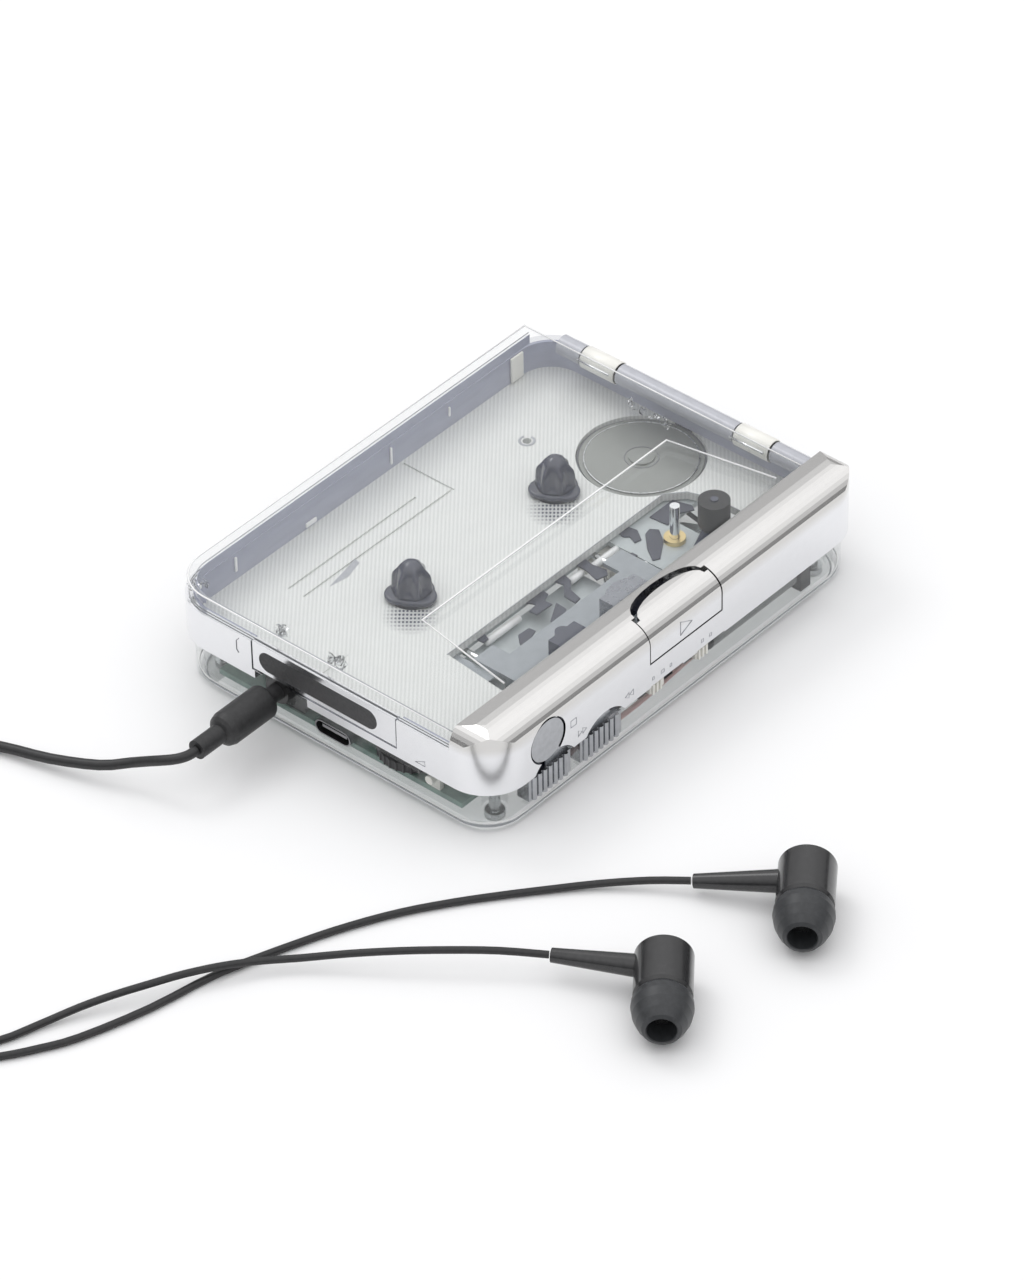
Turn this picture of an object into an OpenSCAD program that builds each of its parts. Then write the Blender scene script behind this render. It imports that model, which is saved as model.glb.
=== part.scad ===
// Portable cassette player: clear case, plated frame, hinged clear lid, belt-driven mechanism,
// with a pair of wired earphones in its jack. Millimetres, +Z up, origin under the middle.

/* [Case] */
// Length along X, from the jack end to the hinge end
body_l = 112; // [111:0.5:113]
// Width along Y, from the button side to the back
body_w = 83; // [82.5:0.5:84]
// Plan radius of the plated frame's corners
corner_r = 9.5; // [9:0.5:10]
// Wall thickness of the shells
wall = 1.6; // [1.4:0.1:1.7]
// Height where the plated frame starts, on top of the clear base
band_bottom = 10.6; // [10.4:0.1:10.8]
// Height of the plated frame's top edge, under the lid
band_top = 19.4; // [19.4:0.1:19.6]
// How far the clear base stands in from the plated frame
base_inset = 1.3; // [1.1:0.1:1.4]

/* [Lid and deck] */
// Height of the lid's flat top
lid_top = 23.2; // [23.2:0.1:23.4]
// Thickness of the lid's plate
lid_t = 1.2; // [1:0.1:1.2]
// Height of the cassette deck's top face
deck_top = 13; // [13:0.1:13.2]
// Height of the highest point, on the roof bar over the buttons
roof_top = 25; // [24.8:0.1:25.2]

/* [Cassette drive] */
// Distance between the two spindles, as a compact cassette has it
spindle_gap = 42.5; // [42.4:0.1:42.6]
// Height of the spindles' tips
spindle_top = 21.4; // [21:0.1:21.5]
// Module of the take-up gear train
gear_module = 0.5; // [0.5:0.5:0.5]

/* [Earphones] */
// Diameter of the cord from the plug to the splitter
cord_d = 2.1; // [2:0.1:2.3]
// Diameter of the two leads from the splitter to the earpieces
lead_d = 1.5; // [1.4:0.1:1.6]

/* [Hidden] */
$fn = 48;

eps = 0.01;
run_gap = 0.05;             // radial clearance of everything that turns on a pin or shaft
part_gap = 0.35;            // air between pieces that move past each other
half_l = body_l / 2;
half_w = body_w / 2;
inner_x = half_l - wall;
inner_y = half_w - wall;
lid_under = lid_top - lid_t;
roof_y = -31;               // inner edge of the roof bar
deck_t = 1.6;
case_l = body_l - 2 * base_inset;
case_w = body_w - 2 * base_inset;
case_r = corner_r - base_inset;

// hinge line along Y at the +X end
hinge_x = 51.9;
hinge_z = 20.3;
knuckle_r = 2.1;
rail_r = 2.2;
hinge_pin_r = 0.8;
knuckle_spans = [[-21.5, -12], [18, 27.5]];

// cassette drive, seen from above
mid_x = 1;
spindle_y = 10;
take_up_x = mid_x + spindle_gap / 2;
supply_x = mid_x - spindle_gap / 2;
capstan_x = 27;
capstan_y = -16.5;
pinch_pivot = [21, -26.4];
pinch_at = [33, -21.5];
motor_x = 41.4;
motor_y = 4;
motor_r = 11.5;              // the can, inside the base
flange_r = 12.5;            // its mounting flange, seen in the deck
flywheel_r = 14;
pulley_r = 3;
belt_z = 3.2;
gear_z = 7.6;
gear_t = 1.6;
pinion_n = 14;
idler_n = 36;
reel_n = 28;
tip_h = 0.42;               // tooth height above the pitch circle
root_h = 0.55;              // tooth depth below the pitch circle
function pitch_r(n) = n * gear_module / 2;

// the idler sits where both of its gears are just in mesh
span_a = pitch_r(pinion_n) + pitch_r(idler_n) + 0.06;
span_b = pitch_r(reel_n) + pitch_r(idler_n) + 0.06;
to_reel = [take_up_x - capstan_x, spindle_y - capstan_y];
span_c = norm(to_reel);
reel_dir = to_reel / span_c;
along = (span_a * span_a - span_b * span_b + span_c * span_c) / (2 * span_c);
aside = sqrt(span_a * span_a - along * along);
idler_at = [capstan_x, capstan_y] + along * reel_dir + aside * [-reel_dir.y, reel_dir.x];
dir_a = atan2(idler_at.y - capstan_y, idler_at.x - capstan_x);
dir_b = atan2(spindle_y - idler_at.y, take_up_x - idler_at.x);
// each gear has a gap where its driver has a tooth
pinion_turn = dir_a;
idler_turn = dir_a + 180 - 0.5 * 360 / idler_n;
idler_phase = (dir_b - idler_turn) * idler_n / 360;
reel_turn = dir_b + 180 - (0.5 - idler_phase) * 360 / reel_n;

// sockets and controls
jack_y = 13.3;
jack_z = 9.7;
usb_z = 5.9;
board_z = 3;
board_t = 1.2;
wheel_x = -47.7;
wheel_y = -14.8;
wheel_r = 7.4;
wheel_z = 5.6;
wheel_t = 2;
tab_y = [-17.5, 18.8];
tab_z = 12.9;
strip_y = [-12.8, 17.2];
play_x = [-10, 11];
play_pivot = [-38.5, 14.4];
play_foot = 16.6;
stop_at = [-39.9, 17];
stop_r = 4.6;
key_x = [-38.2, -23.4];
key_z = 6.6;
key_w = 12;
key_h = 5.4;
switch_z = 9;

// earphone cord, points chosen along its route: out of the plug, over the table and out to the coil
coil_at = [-150, 36];
coil_mid_r = 12.6;
coil_half = 3.7;
main_route = [[-78.05, 13.3, 9.7], [-80, 13.6, 9.55], [-81.8, 15, 9.1], [-83.1, 17.4, 8.3], [-83.9, 20.2, 7.1],
    [-85, 24, 5.4], [-88, 29.4, 3.8], [-91.4, 39.2, 2.3], [-94.3, 49.8, 1.5], [-98.6, 58.6, 1.2],
    [-105, 65.2, 1.2], [-113, 69, 1.2], [-122, 69, 1.2], [-131, 66, 1.2], [-139, 61, 1.2],
    [-145.6, 56.4, 1.2], [-150.6, 53.45, 1.2]];
left_route = [[-163.3, 20, 3.6], [-163.3, 15, 1.8], [-163.2, 9.5, 0.9], [-162.9, 3, 0.8], [-162, -2, 0.8], [-159.8, -6.4, 0.8], [-155.8, -10.2, 0.8], [-150, -14, 0.8],
    [-143, -17.7, 0.8], [-129, -22.2, 0.8], [-114, -25.4, 0.8], [-98.4, -31.1, 0.8], [-89, -35.2, 0.8],
    [-80.4, -39.8, 0.8], [-72.4, -45.2, 0.8], [-65, -50.9, 0.8], [-57.8, -57, 0.9], [-51, -63.4, 1.3],
    [-45.2, -70.4, 2.1], [-40.9, -76.9, 2.8]];
right_route = [[-161.7, 20, 3.6], [-161.6, 15, 1.8], [-161.3, 9.5, 0.9], [-160.4, 3, 0.8], [-158.3, -2, 0.8],
    [-153.2, -6.9, 0.8],
    [-145.2, -9.9, 1], [-138, -12.9, 1.8], [-132, -16, 2.5], [-126, -19.3, 2.9], [-120, -22.4, 3],
    [-114, -26.2, 3], [-108.6, -30, 2.6], [-103, -35.4, 2.6], [-97, -42.4, 3.6], [-91.2, -49.6, 4.4],
    [-85.6, -56.8, 4.9], [-80, -64, 5], [-74.8, -71.4, 4.7]];

// ---- shared shapes ----

module rounded_plate(l, w, r) {
    union() {
        square([l - 2 * r, w], center = true);
        square([l, w - 2 * r], center = true);
        for (sx = [-1, 1], sy = [-1, 1]) {
            translate([sx * (l / 2 - r), sy * (w / 2 - r)]) circle(r);
        }
    }
}

module ring_wall(l, w, r, t, z0, z1) {
    translate([0, 0, z0]) linear_extrude(z1 - z0) difference() {
        rounded_plate(l, w, r);
        rounded_plate(l - 2 * t, w - 2 * t, r - t);
    }
}

module box(low, high) {
    translate(low) cube([high.x - low.x, high.y - low.y, high.z - low.z]);
}

module rod(x, y, z0, z1, r) {
    translate([x, y, z0]) cylinder(r = r, h = z1 - z0);
}

module rod_x(x0, x1, y, z, r) {
    translate([x0, y, z]) rotate([0, 90, 0]) cylinder(r = r, h = x1 - x0);
}

module rod_y(x, y0, y1, z, r) {
    translate([x, y0, z]) rotate([-90, 0, 0]) cylinder(r = r, h = y1 - y0);
}

// a slot with round ends, lying in the YZ plane and cut along X
module slot_x(x0, x1, y0, y1, z, r) {
    rod_x(x0, x1, y0 + r, z, r);
    rod_x(x0, x1, y1 - r, z, r);
    box([x0, y0 + r, z - r], [x1, y1 - r, z + r]);
}

// a slot with round ends, lying in the XZ plane and cut along Y
module slot_y(x0, x1, y0, y1, z, r) {
    rod_y(x0 + r, y0, y1, z, r);
    rod_y(x1 - r, y0, y1, z, r);
    box([x0 + r, y0, z - r], [x1 - r, y1, z + r]);
}

function tooth(n, k, part) = let (
    step = 360 / n,
    r = pitch_r(n),
    a = k * step,
    spots = [[r - root_h, -0.30], [r, -0.215], [r + tip_h, -0.11], [r + tip_h, 0.11], [r, 0.215], [r - root_h, 0.30]],
    s = spots[part]
) s[0] * [cos(a + s[1] * step), sin(a + s[1] * step)];

module gear(n, turn, bore) {
    linear_extrude(gear_t) difference() {
        rotate(turn) polygon([for (k = [0:n - 1], part = [0:5]) tooth(n, k, part)]);
        circle(bore);
    }
}

// a tube swept along points, closed at both ends
function unit(v) = v / norm(v);
function along_path(p, i) = unit(p[min(i + 1, len(p) - 1)] - p[max(i - 1, 0)]);
function sideways(t) = unit(cross(t, [0, 0, 1]));
function sweep_ring(c, t, r, n) = let (s = sideways(t), u = cross(s, t))
    [for (k = [0:n - 1]) c + r * (s * cos(360 * k / n) + u * sin(360 * k / n))];
module tube(path, r, n = 8) {
    m = len(path);
    polyhedron(
        points = [for (i = [0:m - 1]) each sweep_ring(path[i], along_path(path, i), r, n)],
        faces = concat(
            [[for (k = [0:n - 1]) k]],
            [[for (k = [n - 1:-1:0]) (m - 1) * n + k]],
            [for (i = [0:m - 2], k = [0:n - 1])
                [i * n + k, (i + 1) * n + k, (i + 1) * n + (k + 1) % n, i * n + (k + 1) % n]]),
        convexity = 4);
}
// points between the route's own, on a smooth curve through them
function spline(a, b, c, d, t) = 0.5 * (2 * b + t * (c - a) + t * t * (2 * a - 5 * b + 4 * c - d)
    + t * t * t * (3 * b - a - 3 * c + d));
function smooth_route(p, steps) = let (m = len(p)) concat(
    [for (i = [0:m - 2], s = [0:steps - 1])
        spline(p[max(i - 1, 0)], p[i], p[i + 1], p[min(i + 2, m - 1)], s / steps)],
    [p[m - 1]]);

// ---- shells ----

module screw_spots() {
    for (x = [-47.5, 47.5], y = [-34.5, 34.5]) translate([x, y, 0]) children();
}

module bottom_case() {
    color([0.86, 0.88, 0.89, 0.4]) difference() {
        union() {
            difference() {
                hull() {
                    translate([0, 0, 1.4]) linear_extrude(band_bottom - 1.4)
                        rounded_plate(case_l, case_w, case_r, $fn = 32);
                    linear_extrude(1.4) rounded_plate(case_l - 2.4, case_w - 2.4, case_r - 1.2, $fn = 32);
                }
                translate([0, 0, wall]) linear_extrude(band_bottom)
                    rounded_plate(case_l - 2 * wall, case_w - 2 * wall, case_r - wall);
            }
            screw_spots() translate([0, 0, eps]) cylinder(r = 2.6, h = band_bottom - 0.2);
        }
        screw_spots() translate([0, 0, -eps]) cylinder(r = 1.15, h = band_bottom + 1);
        screw_spots() translate([0, 0, -eps]) cylinder(r = 2.1, h = 1.4);
        rod_x(-half_l - 1, -inner_x + 3.5, jack_y, jack_z, 4.2);
        rod_x(-half_l - 1, -inner_x + 3.5, -24.2, 7.2, 1.1);
        slot_x(-half_l - 1, -inner_x + 3, -5.1, 5.1, usb_z, 2.05);
        box([-half_l - 1, wheel_y - 6.9, wheel_z - 0.5], [-inner_x + 3.5, wheel_y + 6.9, wheel_z + wheel_t + 0.5]);
        for (x = key_x) box([x - key_w / 2 - 0.4, -half_w - 1, key_z - key_h / 2 - 0.4],
            [x + key_w / 2 + 0.4, -half_w + 4, band_bottom + 1]);
        box([-10, -half_w - 1, switch_z - 1.5], [-0.6, -half_w + 4, band_bottom + 1]);
        box([3.8, -half_w - 1, switch_z - 1.5], [11.8, -half_w + 4, band_bottom + 1]);
    }
}

// outline of the roof bar, in Y and Z, from the front wall over the crown to its inner edge
function roof_outline(t) = let (
    front = half_w - t,
    top = roof_top - t,
    curve = 5.6
) concat(
    [[-front, band_top - eps], [-front, top - curve + 1.4]],
    [for (a = [10:10:80]) [-front + curve * (1 - cos(a)), top - curve + 1.4 + (curve - 1.4) * sin(a)]],
    [[-front + curve, top], [-front + curve + 1.6, top - 0.12], [roof_y - t * 0.7, top - 0.9],
        [roof_y - t * 0.7, band_top - eps]]);

// outline of the roof bar from the front, with its two round ends
function roof_ends(t) = let (half = half_l - t, top = roof_top - t, curve = 5) concat(
    [[-half, band_top - 1], [-half, top - curve]],
    [for (a = [10:10:80]) [-half + curve * (1 - cos(a)), top - curve + curve * sin(a)]],
    [[-half + curve, top + 0.01], [half - curve, top + 0.01]],
    [for (a = [80:-10:10]) [half - curve * (1 - cos(a)), top - curve + curve * sin(a)]],
    [[half, top - curve], [half, band_top - 1]]);

module roof_solid(t) {
    intersection() {
        translate([-half_l, 0, 0]) rotate([90, 0, 90]) linear_extrude(body_l) polygon(roof_outline(t));
        translate([0, 0, band_top - 1]) linear_extrude(10)
            rounded_plate(body_l - 2 * t, body_w - 2 * t, corner_r - t);
        translate([0, 0, 0]) rotate([90, 0, 0]) linear_extrude(half_w) polygon(roof_ends(t));
    }
}

// plan of the play button or, grown by g, of its opening: straight sides and a bowed inner end
function play_plan(g) = let (
    mid = (play_x[0] + play_x[1]) / 2,
    half = (play_x[1] - play_x[0]) / 2 + g
) concat(
    [[mid - half, -half_w - 1], [mid + half, -half_w - 1], [mid + half, roof_y - 7]],
    [for (a = [0:15:180]) [mid + (half - 1) * cos(a), roof_y - 7 + (3.6 + 3 * g) * sin(a)]],
    [[mid - half, roof_y - 7]]);

module play_opening() {
    translate([0, 0, play_foot - 0.35]) linear_extrude(12) {
        polygon(play_plan(0.3));
        translate([0, 1.15]) polygon(play_plan(0.3));
    }
}

module mid_frame() {
    color([0.83, 0.84, 0.86]) difference() {
        union() {
            ring_wall(body_l, body_w, corner_r, wall, band_bottom, band_top);
            difference() {
                roof_solid(0);
                roof_solid(1.4);
            }
        }
        play_opening();
        rod_y(stop_at.x, -half_w - 1, -half_w + 4, stop_at.y, stop_r + 0.4);
        for (x = key_x) translate([x, -half_w + 4, 7.4]) rotate([90, 0, 0]) scale([1.1, 1, 1])
            cylinder(r = 6, h = 5);
        rod_x(-half_l - 1, -inner_x + 3, jack_y, jack_z, 4.2);
        box([-half_l - 1, 5, band_bottom - 1], [-inner_x + 2, 18.4, 12.4]);
        box([-half_l - 1, tab_y[0] - 0.3, tab_z - 0.4], [-inner_x + 1, tab_y[1] + 0.3, band_top + 1]);
        box([-10, -half_w - 1, band_bottom - 1], [-0.6, -half_w + 4, switch_z + 1.9]);
        box([3.8, -half_w - 1, band_bottom - 1], [11.8, -half_w + 4, switch_z + 1.9]);
    }
}

// a clear liner inside the plated frame, with a ledge at the hinge end that carries the hinge rail
liner_t = 0.5;
module well_frame() {
    color([0.72, 0.75, 0.82, 0.4]) difference() {
        union() {
            translate([0, 0, deck_top]) linear_extrude(band_top - deck_top - 0.1) difference() {
                rounded_plate(body_l - 2 * wall, body_w - 2 * wall, corner_r - wall);
                rounded_plate(body_l - 2 * wall - 2 * liner_t, body_w - 2 * wall - 2 * liner_t,
                    corner_r - wall - liner_t);
                translate([-100, -60]) square([200, 60 + roof_y + 0.6]);
            }
            box([51, -29.8, band_top - 1.3], [inner_x - 0.1, 33.2, band_top - 0.1]);
        }
        // room for the tab's back, the jack and the hinge knuckles
        box([-half_l, tab_y[0] - 0.5, tab_z - 0.5], [-inner_x + 1.3, tab_y[1] + 0.5, band_top + 1]);
        box([-half_l, 7.4, deck_top - 1], [-49, 19.2, deck_top + 0.4]);
        for (s = knuckle_spans) box([hinge_x - knuckle_r - 1, s[0], hinge_z - knuckle_r - 0.5],
            [inner_x + 1, s[1], band_top + 1]);
    }
}

module window_outline() {
    polygon([[-29.4, -7.2], [34.6, -7.2], [38.2, -10.4], [40.2, -16.6], [40.2, -31], [18, -31],
        [18, -27.6], [4.2, -27.6], [4.2, -31], [-3.2, -31], [-3.2, -27.6], [-31.4, -27.6]]);
}

module deck_plate() {
    color([0.82, 0.83, 0.83]) difference() {
        translate([0, 0, deck_top - deck_t]) linear_extrude(deck_t) difference() {
            rounded_plate(body_l - 2 * wall - 0.2, body_w - 2 * wall - 0.2, corner_r - wall);
            window_outline();
            translate([motor_x, motor_y]) circle(flange_r + 0.6);
            for (x = [take_up_x, supply_x]) translate([x, spindle_y]) circle(4.6);
            translate([-100, -60]) square([200, 60 - 29.5]);
            translate([-60, 7.4]) square([18.4, 11.8]);
            translate([-60, tab_y[0] - 0.5]) square([60 - inner_x + 1.3, tab_y[1] - tab_y[0] + 1]);
        }
        // a locating hole, and the tray's moulded grooves
        rod(30.6, 24.6, 0, 20, 0.9);
        box([-34, 29.3, deck_top - 0.4], [3, 29.9, 20]);
        box([-34, 25.4, deck_top - 0.4], [9.8, 26, 20]);
        box([9.2, 25.4, deck_top - 0.4], [9.8, 38.8, 20]);
    }
}

module chassis_plate() {
    color([0.62, 0.64, 0.66]) {
        difference() {
            translate([0, 0, 9.8]) linear_extrude(1.2) difference() {
                translate([-36, -29]) square([86, 63]);
                translate([motor_x, motor_y]) circle(motor_r + 0.35);
                translate([supply_x, spindle_y]) circle(1.6 + run_gap);
                translate([take_up_x, spindle_y]) circle(1.6 + run_gap);
                translate([-33, -26.4]) square([51.5, 19.9]);
                translate([31.6, -40]) square([30, 28]);
                translate([capstan_x, capstan_y]) circle(2.2);
            }
            translate([idler_at.x, idler_at.y, 9]) cylinder(r = 1, h = 3);
        }
        rod(pinch_pivot.x, pinch_pivot.y, 10.9, 14.4, 0.9);
    }
}

// ---- hinge and lid ----

module hinge_rail() {
    color([0.9, 0.92, 0.93, 0.4]) difference() {
        union() {
            rod_y(hinge_x, -29.8, 33.4, hinge_z, rail_r);
            box([hinge_x - 0.9, -29.8, band_top - 0.1], [inner_x - 0.1, 33.2, hinge_z]);
        }
        for (s = knuckle_spans) {
            box([hinge_x - 5, s[0], hinge_z - 4], [half_l, s[1], hinge_z + 4]);
        }
        rod_y(hinge_x, -24.6, -8.9, hinge_z, hinge_pin_r);
        rod_y(hinge_x, 14.9, 30.6, hinge_z, hinge_pin_r);
        box([0, -40, hinge_z - 5], [60, 40, band_top - 0.1]);
    }
}

module hinge_pins() {
    color([0.8, 0.81, 0.83]) {
        rod_y(hinge_x, -24.6, -8.9, hinge_z, hinge_pin_r);
        rod_y(hinge_x, 14.9, 30.6, hinge_z, hinge_pin_r);
    }
}

lid_x = [-half_l + 0.7, 49.3];
lid_y = [roof_y + 0.35, half_w - 0.4];
lid_r = 8.8;
function raised(grow) = [[-35 - grow, -6 + grow], [37 + grow, -6 + grow], [41.6 + grow, lid_y[0]], [-39.6 - grow, lid_y[0]]];

module lid_plan(t) {
    difference() {
        union() {
            translate([lid_x[0] + t, lid_y[0]]) square([lid_x[1] - lid_x[0] - t, lid_y[1] - lid_r - lid_y[0]]);
            translate([lid_x[0] + lid_r, lid_y[1] - lid_r - 1]) square([lid_x[1] - lid_x[0] - lid_r, lid_r + 1 - t]);
            translate([lid_x[0] + lid_r, lid_y[1] - lid_r]) circle(lid_r - t);
        }
    }
}

module lid() {
    skirt_z = band_top + 0.2;
    color([0.9, 0.92, 0.94, 0.35]) difference() {
        union() {
            translate([0, 0, skirt_z]) linear_extrude(lid_top - skirt_z) lid_plan(0);
            translate([0, 0, lid_top - eps]) linear_extrude(1.5) polygon(raised(0));
            for (s = knuckle_spans) {
                rod_y(hinge_x, s[0] + 0.3, s[1] - 0.3, hinge_z, knuckle_r);
                box([lid_x[1] - 1, s[0] + 0.3, lid_under - 0.1], [hinge_x, s[1] - 0.3, hinge_z + knuckle_r]);
            }
            for (y = [15, 1]) rod(-51.5, y, 20.2, lid_under + eps, 1.6);
        }
        difference() {
            translate([0, 0, skirt_z - 1]) linear_extrude(lid_under - skirt_z + 1) difference() {
                lid_plan(1.3);
                for (y = [15, 1]) translate([-51.5, y]) circle(1.6);
            }
            for (s = knuckle_spans) box([lid_x[1] - eps, s[0], 0], [60, s[1], 30]);
        }
        translate([0, 0, lid_under - eps]) linear_extrude(1.5) polygon(raised(-1.2));
        for (s = knuckle_spans) rod_y(hinge_x, s[0], s[1], hinge_z, hinge_pin_r + run_gap);
        // the rail's room along the lid's end
        box([lid_x[1] - 0.9, -40, 0], [lid_x[1] + eps, 45, lid_under - 0.1]);
    }
}

module lid_tab() {
    color([0.83, 0.84, 0.86]) difference() {
        box([-half_l + 0.1, tab_y[0], tab_z], [-half_l + 1.5, tab_y[1], band_top + 0.2]);
        slot_x(-half_l - 1, -half_l + 0.9, strip_y[0], strip_y[1], 16, 2.3);
    }
}

module grip_strip() {
    color([0.06, 0.06, 0.07]) slot_x(-half_l + 0.2, -half_l + 0.9, strip_y[0], strip_y[1], 16, 2.3);
}

// ---- controls ----

// the roof bar's front and crown as a strip of the button's own thickness, in Y and Z
function roof_strip(t) = let (front = half_w - t, top = roof_top - t, curve = 5.6) concat(
    [[-front, play_foot], [-front, top - curve + 1.4]],
    [for (a = [10:10:80]) [-front + curve * (1 - cos(a)), top - curve + 1.4 + (curve - 1.4) * sin(a)]],
    [[-front + curve, top], [-front + curve + 1.6, top - 0.12], [roof_y - 2, top - 0.7]]);
function reversed(list) = [for (i = [len(list) - 1:-1:0]) list[i]];

module play_button() {
    color([0.83, 0.84, 0.86]) difference() {
        union() {
            intersection() {
                translate([play_x[0] - 1, 0, 0]) rotate([90, 0, 90]) linear_extrude(play_x[1] - play_x[0] + 2)
                    polygon(concat(roof_strip(0.05), reversed(roof_strip(1.5))));
                translate([0, 0, play_foot - 1]) linear_extrude(12) polygon(play_plan(0));
            }
            for (x = [play_x[0] + 2, play_x[1] - 4]) {
                box([x, -half_w + 0.8, play_foot + 0.2], [x + 2, -37.4, 19.8]);
                box([x, -inner_y + 0.4, play_pivot.y - 1.1], [x + 2, -37.4, play_foot + 0.8]);
            }
        }
        rod_x(play_x[0] - 1, play_x[1] + 1, play_pivot.x, play_pivot.y, 0.7 + run_gap);
    }
}

module play_lever() {
    color([0.27, 0.29, 0.36]) {
        box([-2, -36.8, 17.4], [3, -32, 18.7]);
        box([-5.9, -half_w + 1.5, 17.4], [6.9, -36.7, 18.7]);
    }
}

module stop_button() {
    color([0.74, 0.76, 0.74]) {
        rod_y(stop_at.x, -half_w + 0.2, -half_w + 4.2, stop_at.y, stop_r);
        rod_y(stop_at.x, -half_w + 4.2, -half_w + 9.4, stop_at.y, 1.5);
    }
}

module transport_key(x) {
    color([0.6, 0.62, 0.64]) {
        box([x - key_w / 2, -half_w + 1.3, key_z - key_h / 2], [x + key_w / 2, -half_w + 4.2, key_z + key_h / 2]);
        for (k = [-3:3]) rod(x + k * 1.5, -half_w + 1.3, key_z - key_h / 2, key_z + key_h / 2, 0.55);
        rod_y(x, -half_w + 4.1, -half_w + 9.4, key_z, 1.3);
    }
}

// bars that carry the buttons' stems, and the play button's pivot with its two posts
module button_guides() {
    y = -half_w + 6;
    color([0.3, 0.32, 0.38]) {
        difference() {
            union() {
                box([-44.6, y, 4.2], [-14, y + 1.6, 11.4]);
                box([-45, y, 11.3], [-34, y + 1.6, 19.2]);
            }
            for (x = key_x) rod_y(x, y - 1, y + 3, key_z, 1.3 + run_gap);
            rod_y(stop_at.x, y - 1, y + 3, stop_at.y, 1.5 + run_gap);
        }
        rod_x(play_x[0] - 2, play_x[1] + 2, play_pivot.x, play_pivot.y, 0.7);
        for (x = [play_x[0] - 3, play_x[1] + 1.6]) box([x, -39.4, 11.6], [x + 1.4, -37.4, 15.6]);
        box([play_x[0] - 4.5, -39.4, 11.4], [play_x[1] + 3, -36.4, 12.4]);
        box([play_x[0] - 6, -36.4, 11.3], [play_x[0] - 3, -33.9, 12.4]);
        box([-18, y, 11.3], [play_x[0] - 3, y + 1.6, 12.4]);
    }
}

module slider(x, w) {
    color([0.88, 0.88, 0.86]) {
        box([x, -half_w + 0.9, switch_z - 1], [x + w, -half_w + 2.6, switch_z + 1.4]);
        for (k = [0.6:1.1:w - 0.6]) box([x + k - 0.25, -half_w + 0.3, switch_z - 1], [x + k + 0.25, -half_w + 0.9, switch_z + 1.4]);
        box([x + w / 2 - 0.8, -half_w + 2.6, switch_z - 0.6], [x + w / 2 + 0.8, -half_w + 3.6, switch_z + 0.6]);
    }
}

module mode_switch() slider(-9.4, 4.2);
module tape_switch() slider(4.2, 3.8);

module switch_bodies() {
    color([0.16, 0.17, 0.18]) difference() {
        union() {
            box([-10.4, -half_w + 2.9, 6.4], [-0.2, -half_w + 7, 11.2]);
            box([3.4, -half_w + 2.9, 6.4], [12.2, -half_w + 7, 11.2]);
        }
        box([-9.9, -half_w + 2, switch_z - 0.8], [-0.7, -half_w + 4.2, switch_z + 0.8]);
        box([3.9, -half_w + 2, switch_z - 0.8], [11.7, -half_w + 4.2, switch_z + 0.8]);
    }
}

module volume_wheel() {
    color([0.2, 0.21, 0.22]) translate([wheel_x, wheel_y, wheel_z]) difference() {
        union() {
            cylinder(r = wheel_r - 0.25, h = wheel_t);
            for (k = [0:29]) rotate(12 * k) translate([wheel_r - 0.3, 0, 0]) cylinder(r = 0.3, h = wheel_t);
        }
        translate([0, 0, -1]) cylinder(r = 1.2 + run_gap, h = wheel_t + 2);
    }
}

module volume_pot() {
    color([0.3, 0.3, 0.32]) {
        rod(wheel_x, wheel_y, board_z + board_t, wheel_z - 0.15, 4.6);
        rod(wheel_x, wheel_y, wheel_z - 0.3, wheel_z + wheel_t + 0.3, 1.2);
    }
}

// ---- electronics ----

module main_board() {
    color([0.08, 0.36, 0.24]) difference() {
        box([-52.8, -31, board_z], [-24, 31, board_z + board_t]);
        for (y = [-27, 27]) rod(-30, y, 0, 10, 1.1);
    }
}

module board_chips() {
    z = board_z + board_t;
    color([0.12, 0.12, 0.13]) {
        box([-38, -6, z], [-31, 1, z + 1.2]);
        box([-36, 10, z], [-31, 14, z + 1]);
        box([-36, -22, z], [-31, -17, z + 1]);
        for (y = [-12, 18, 23]) rod(-27, y, z, z + 4.4, 2.1);
        for (y = [-10:4:6]) box([-42.4, y, z], [-41.2, y + 2, z + 0.6]);
    }
}

module headphone_jack() {
    color([0.07, 0.07, 0.08]) difference() {
        union() {
            box([-52.9, 7.9, 6.2], [-42.4, 18.7, 12.5]);
            box([-52.4, 9.2, board_z + board_t], [-43, 17.4, 6.3]);
            rod_x(-55.4, -52.8, jack_y, jack_z, 2.85);
        }
        rod_x(-60, -43.6, jack_y, jack_z, 1.78);
    }
}

module usb_port() {
    color([0.5, 0.5, 0.52]) {
        difference() {
            slot_x(-54.6, -47.6, -4.5, 4.5, usb_z, 1.65);
            slot_x(-55, -48.4, -4.2, 4.2, usb_z, 1.35);
        }
        box([-54, -3.1, usb_z - 0.35], [-48.2, 3.1, usb_z + 0.35]);
    }
}

module status_led() {
    color([0.9, 0.9, 0.86]) {
        rod_x(-54.4, -52.6, -24.2, 7.2, 0.95);
        box([-52.7, -25.4, board_z + board_t], [-51.5, -23, 8.2]);
    }
}

module battery() {
    color([0.42, 0.44, 0.45]) {
        rod_x(12.6, 38, -34.9, 5.9, 3.4);
        rod_x(38, 38.9, -34.9, 5.9, 1.4);
    }
}

module battery_strap() {
    color([0.1, 0.1, 0.11]) difference() {
        box([39.2, -38.3, 1.7], [42.2, -31, 10.4]);
        box([40.2, -37.3, 4], [45, -32, 11]);
    }
}

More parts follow.
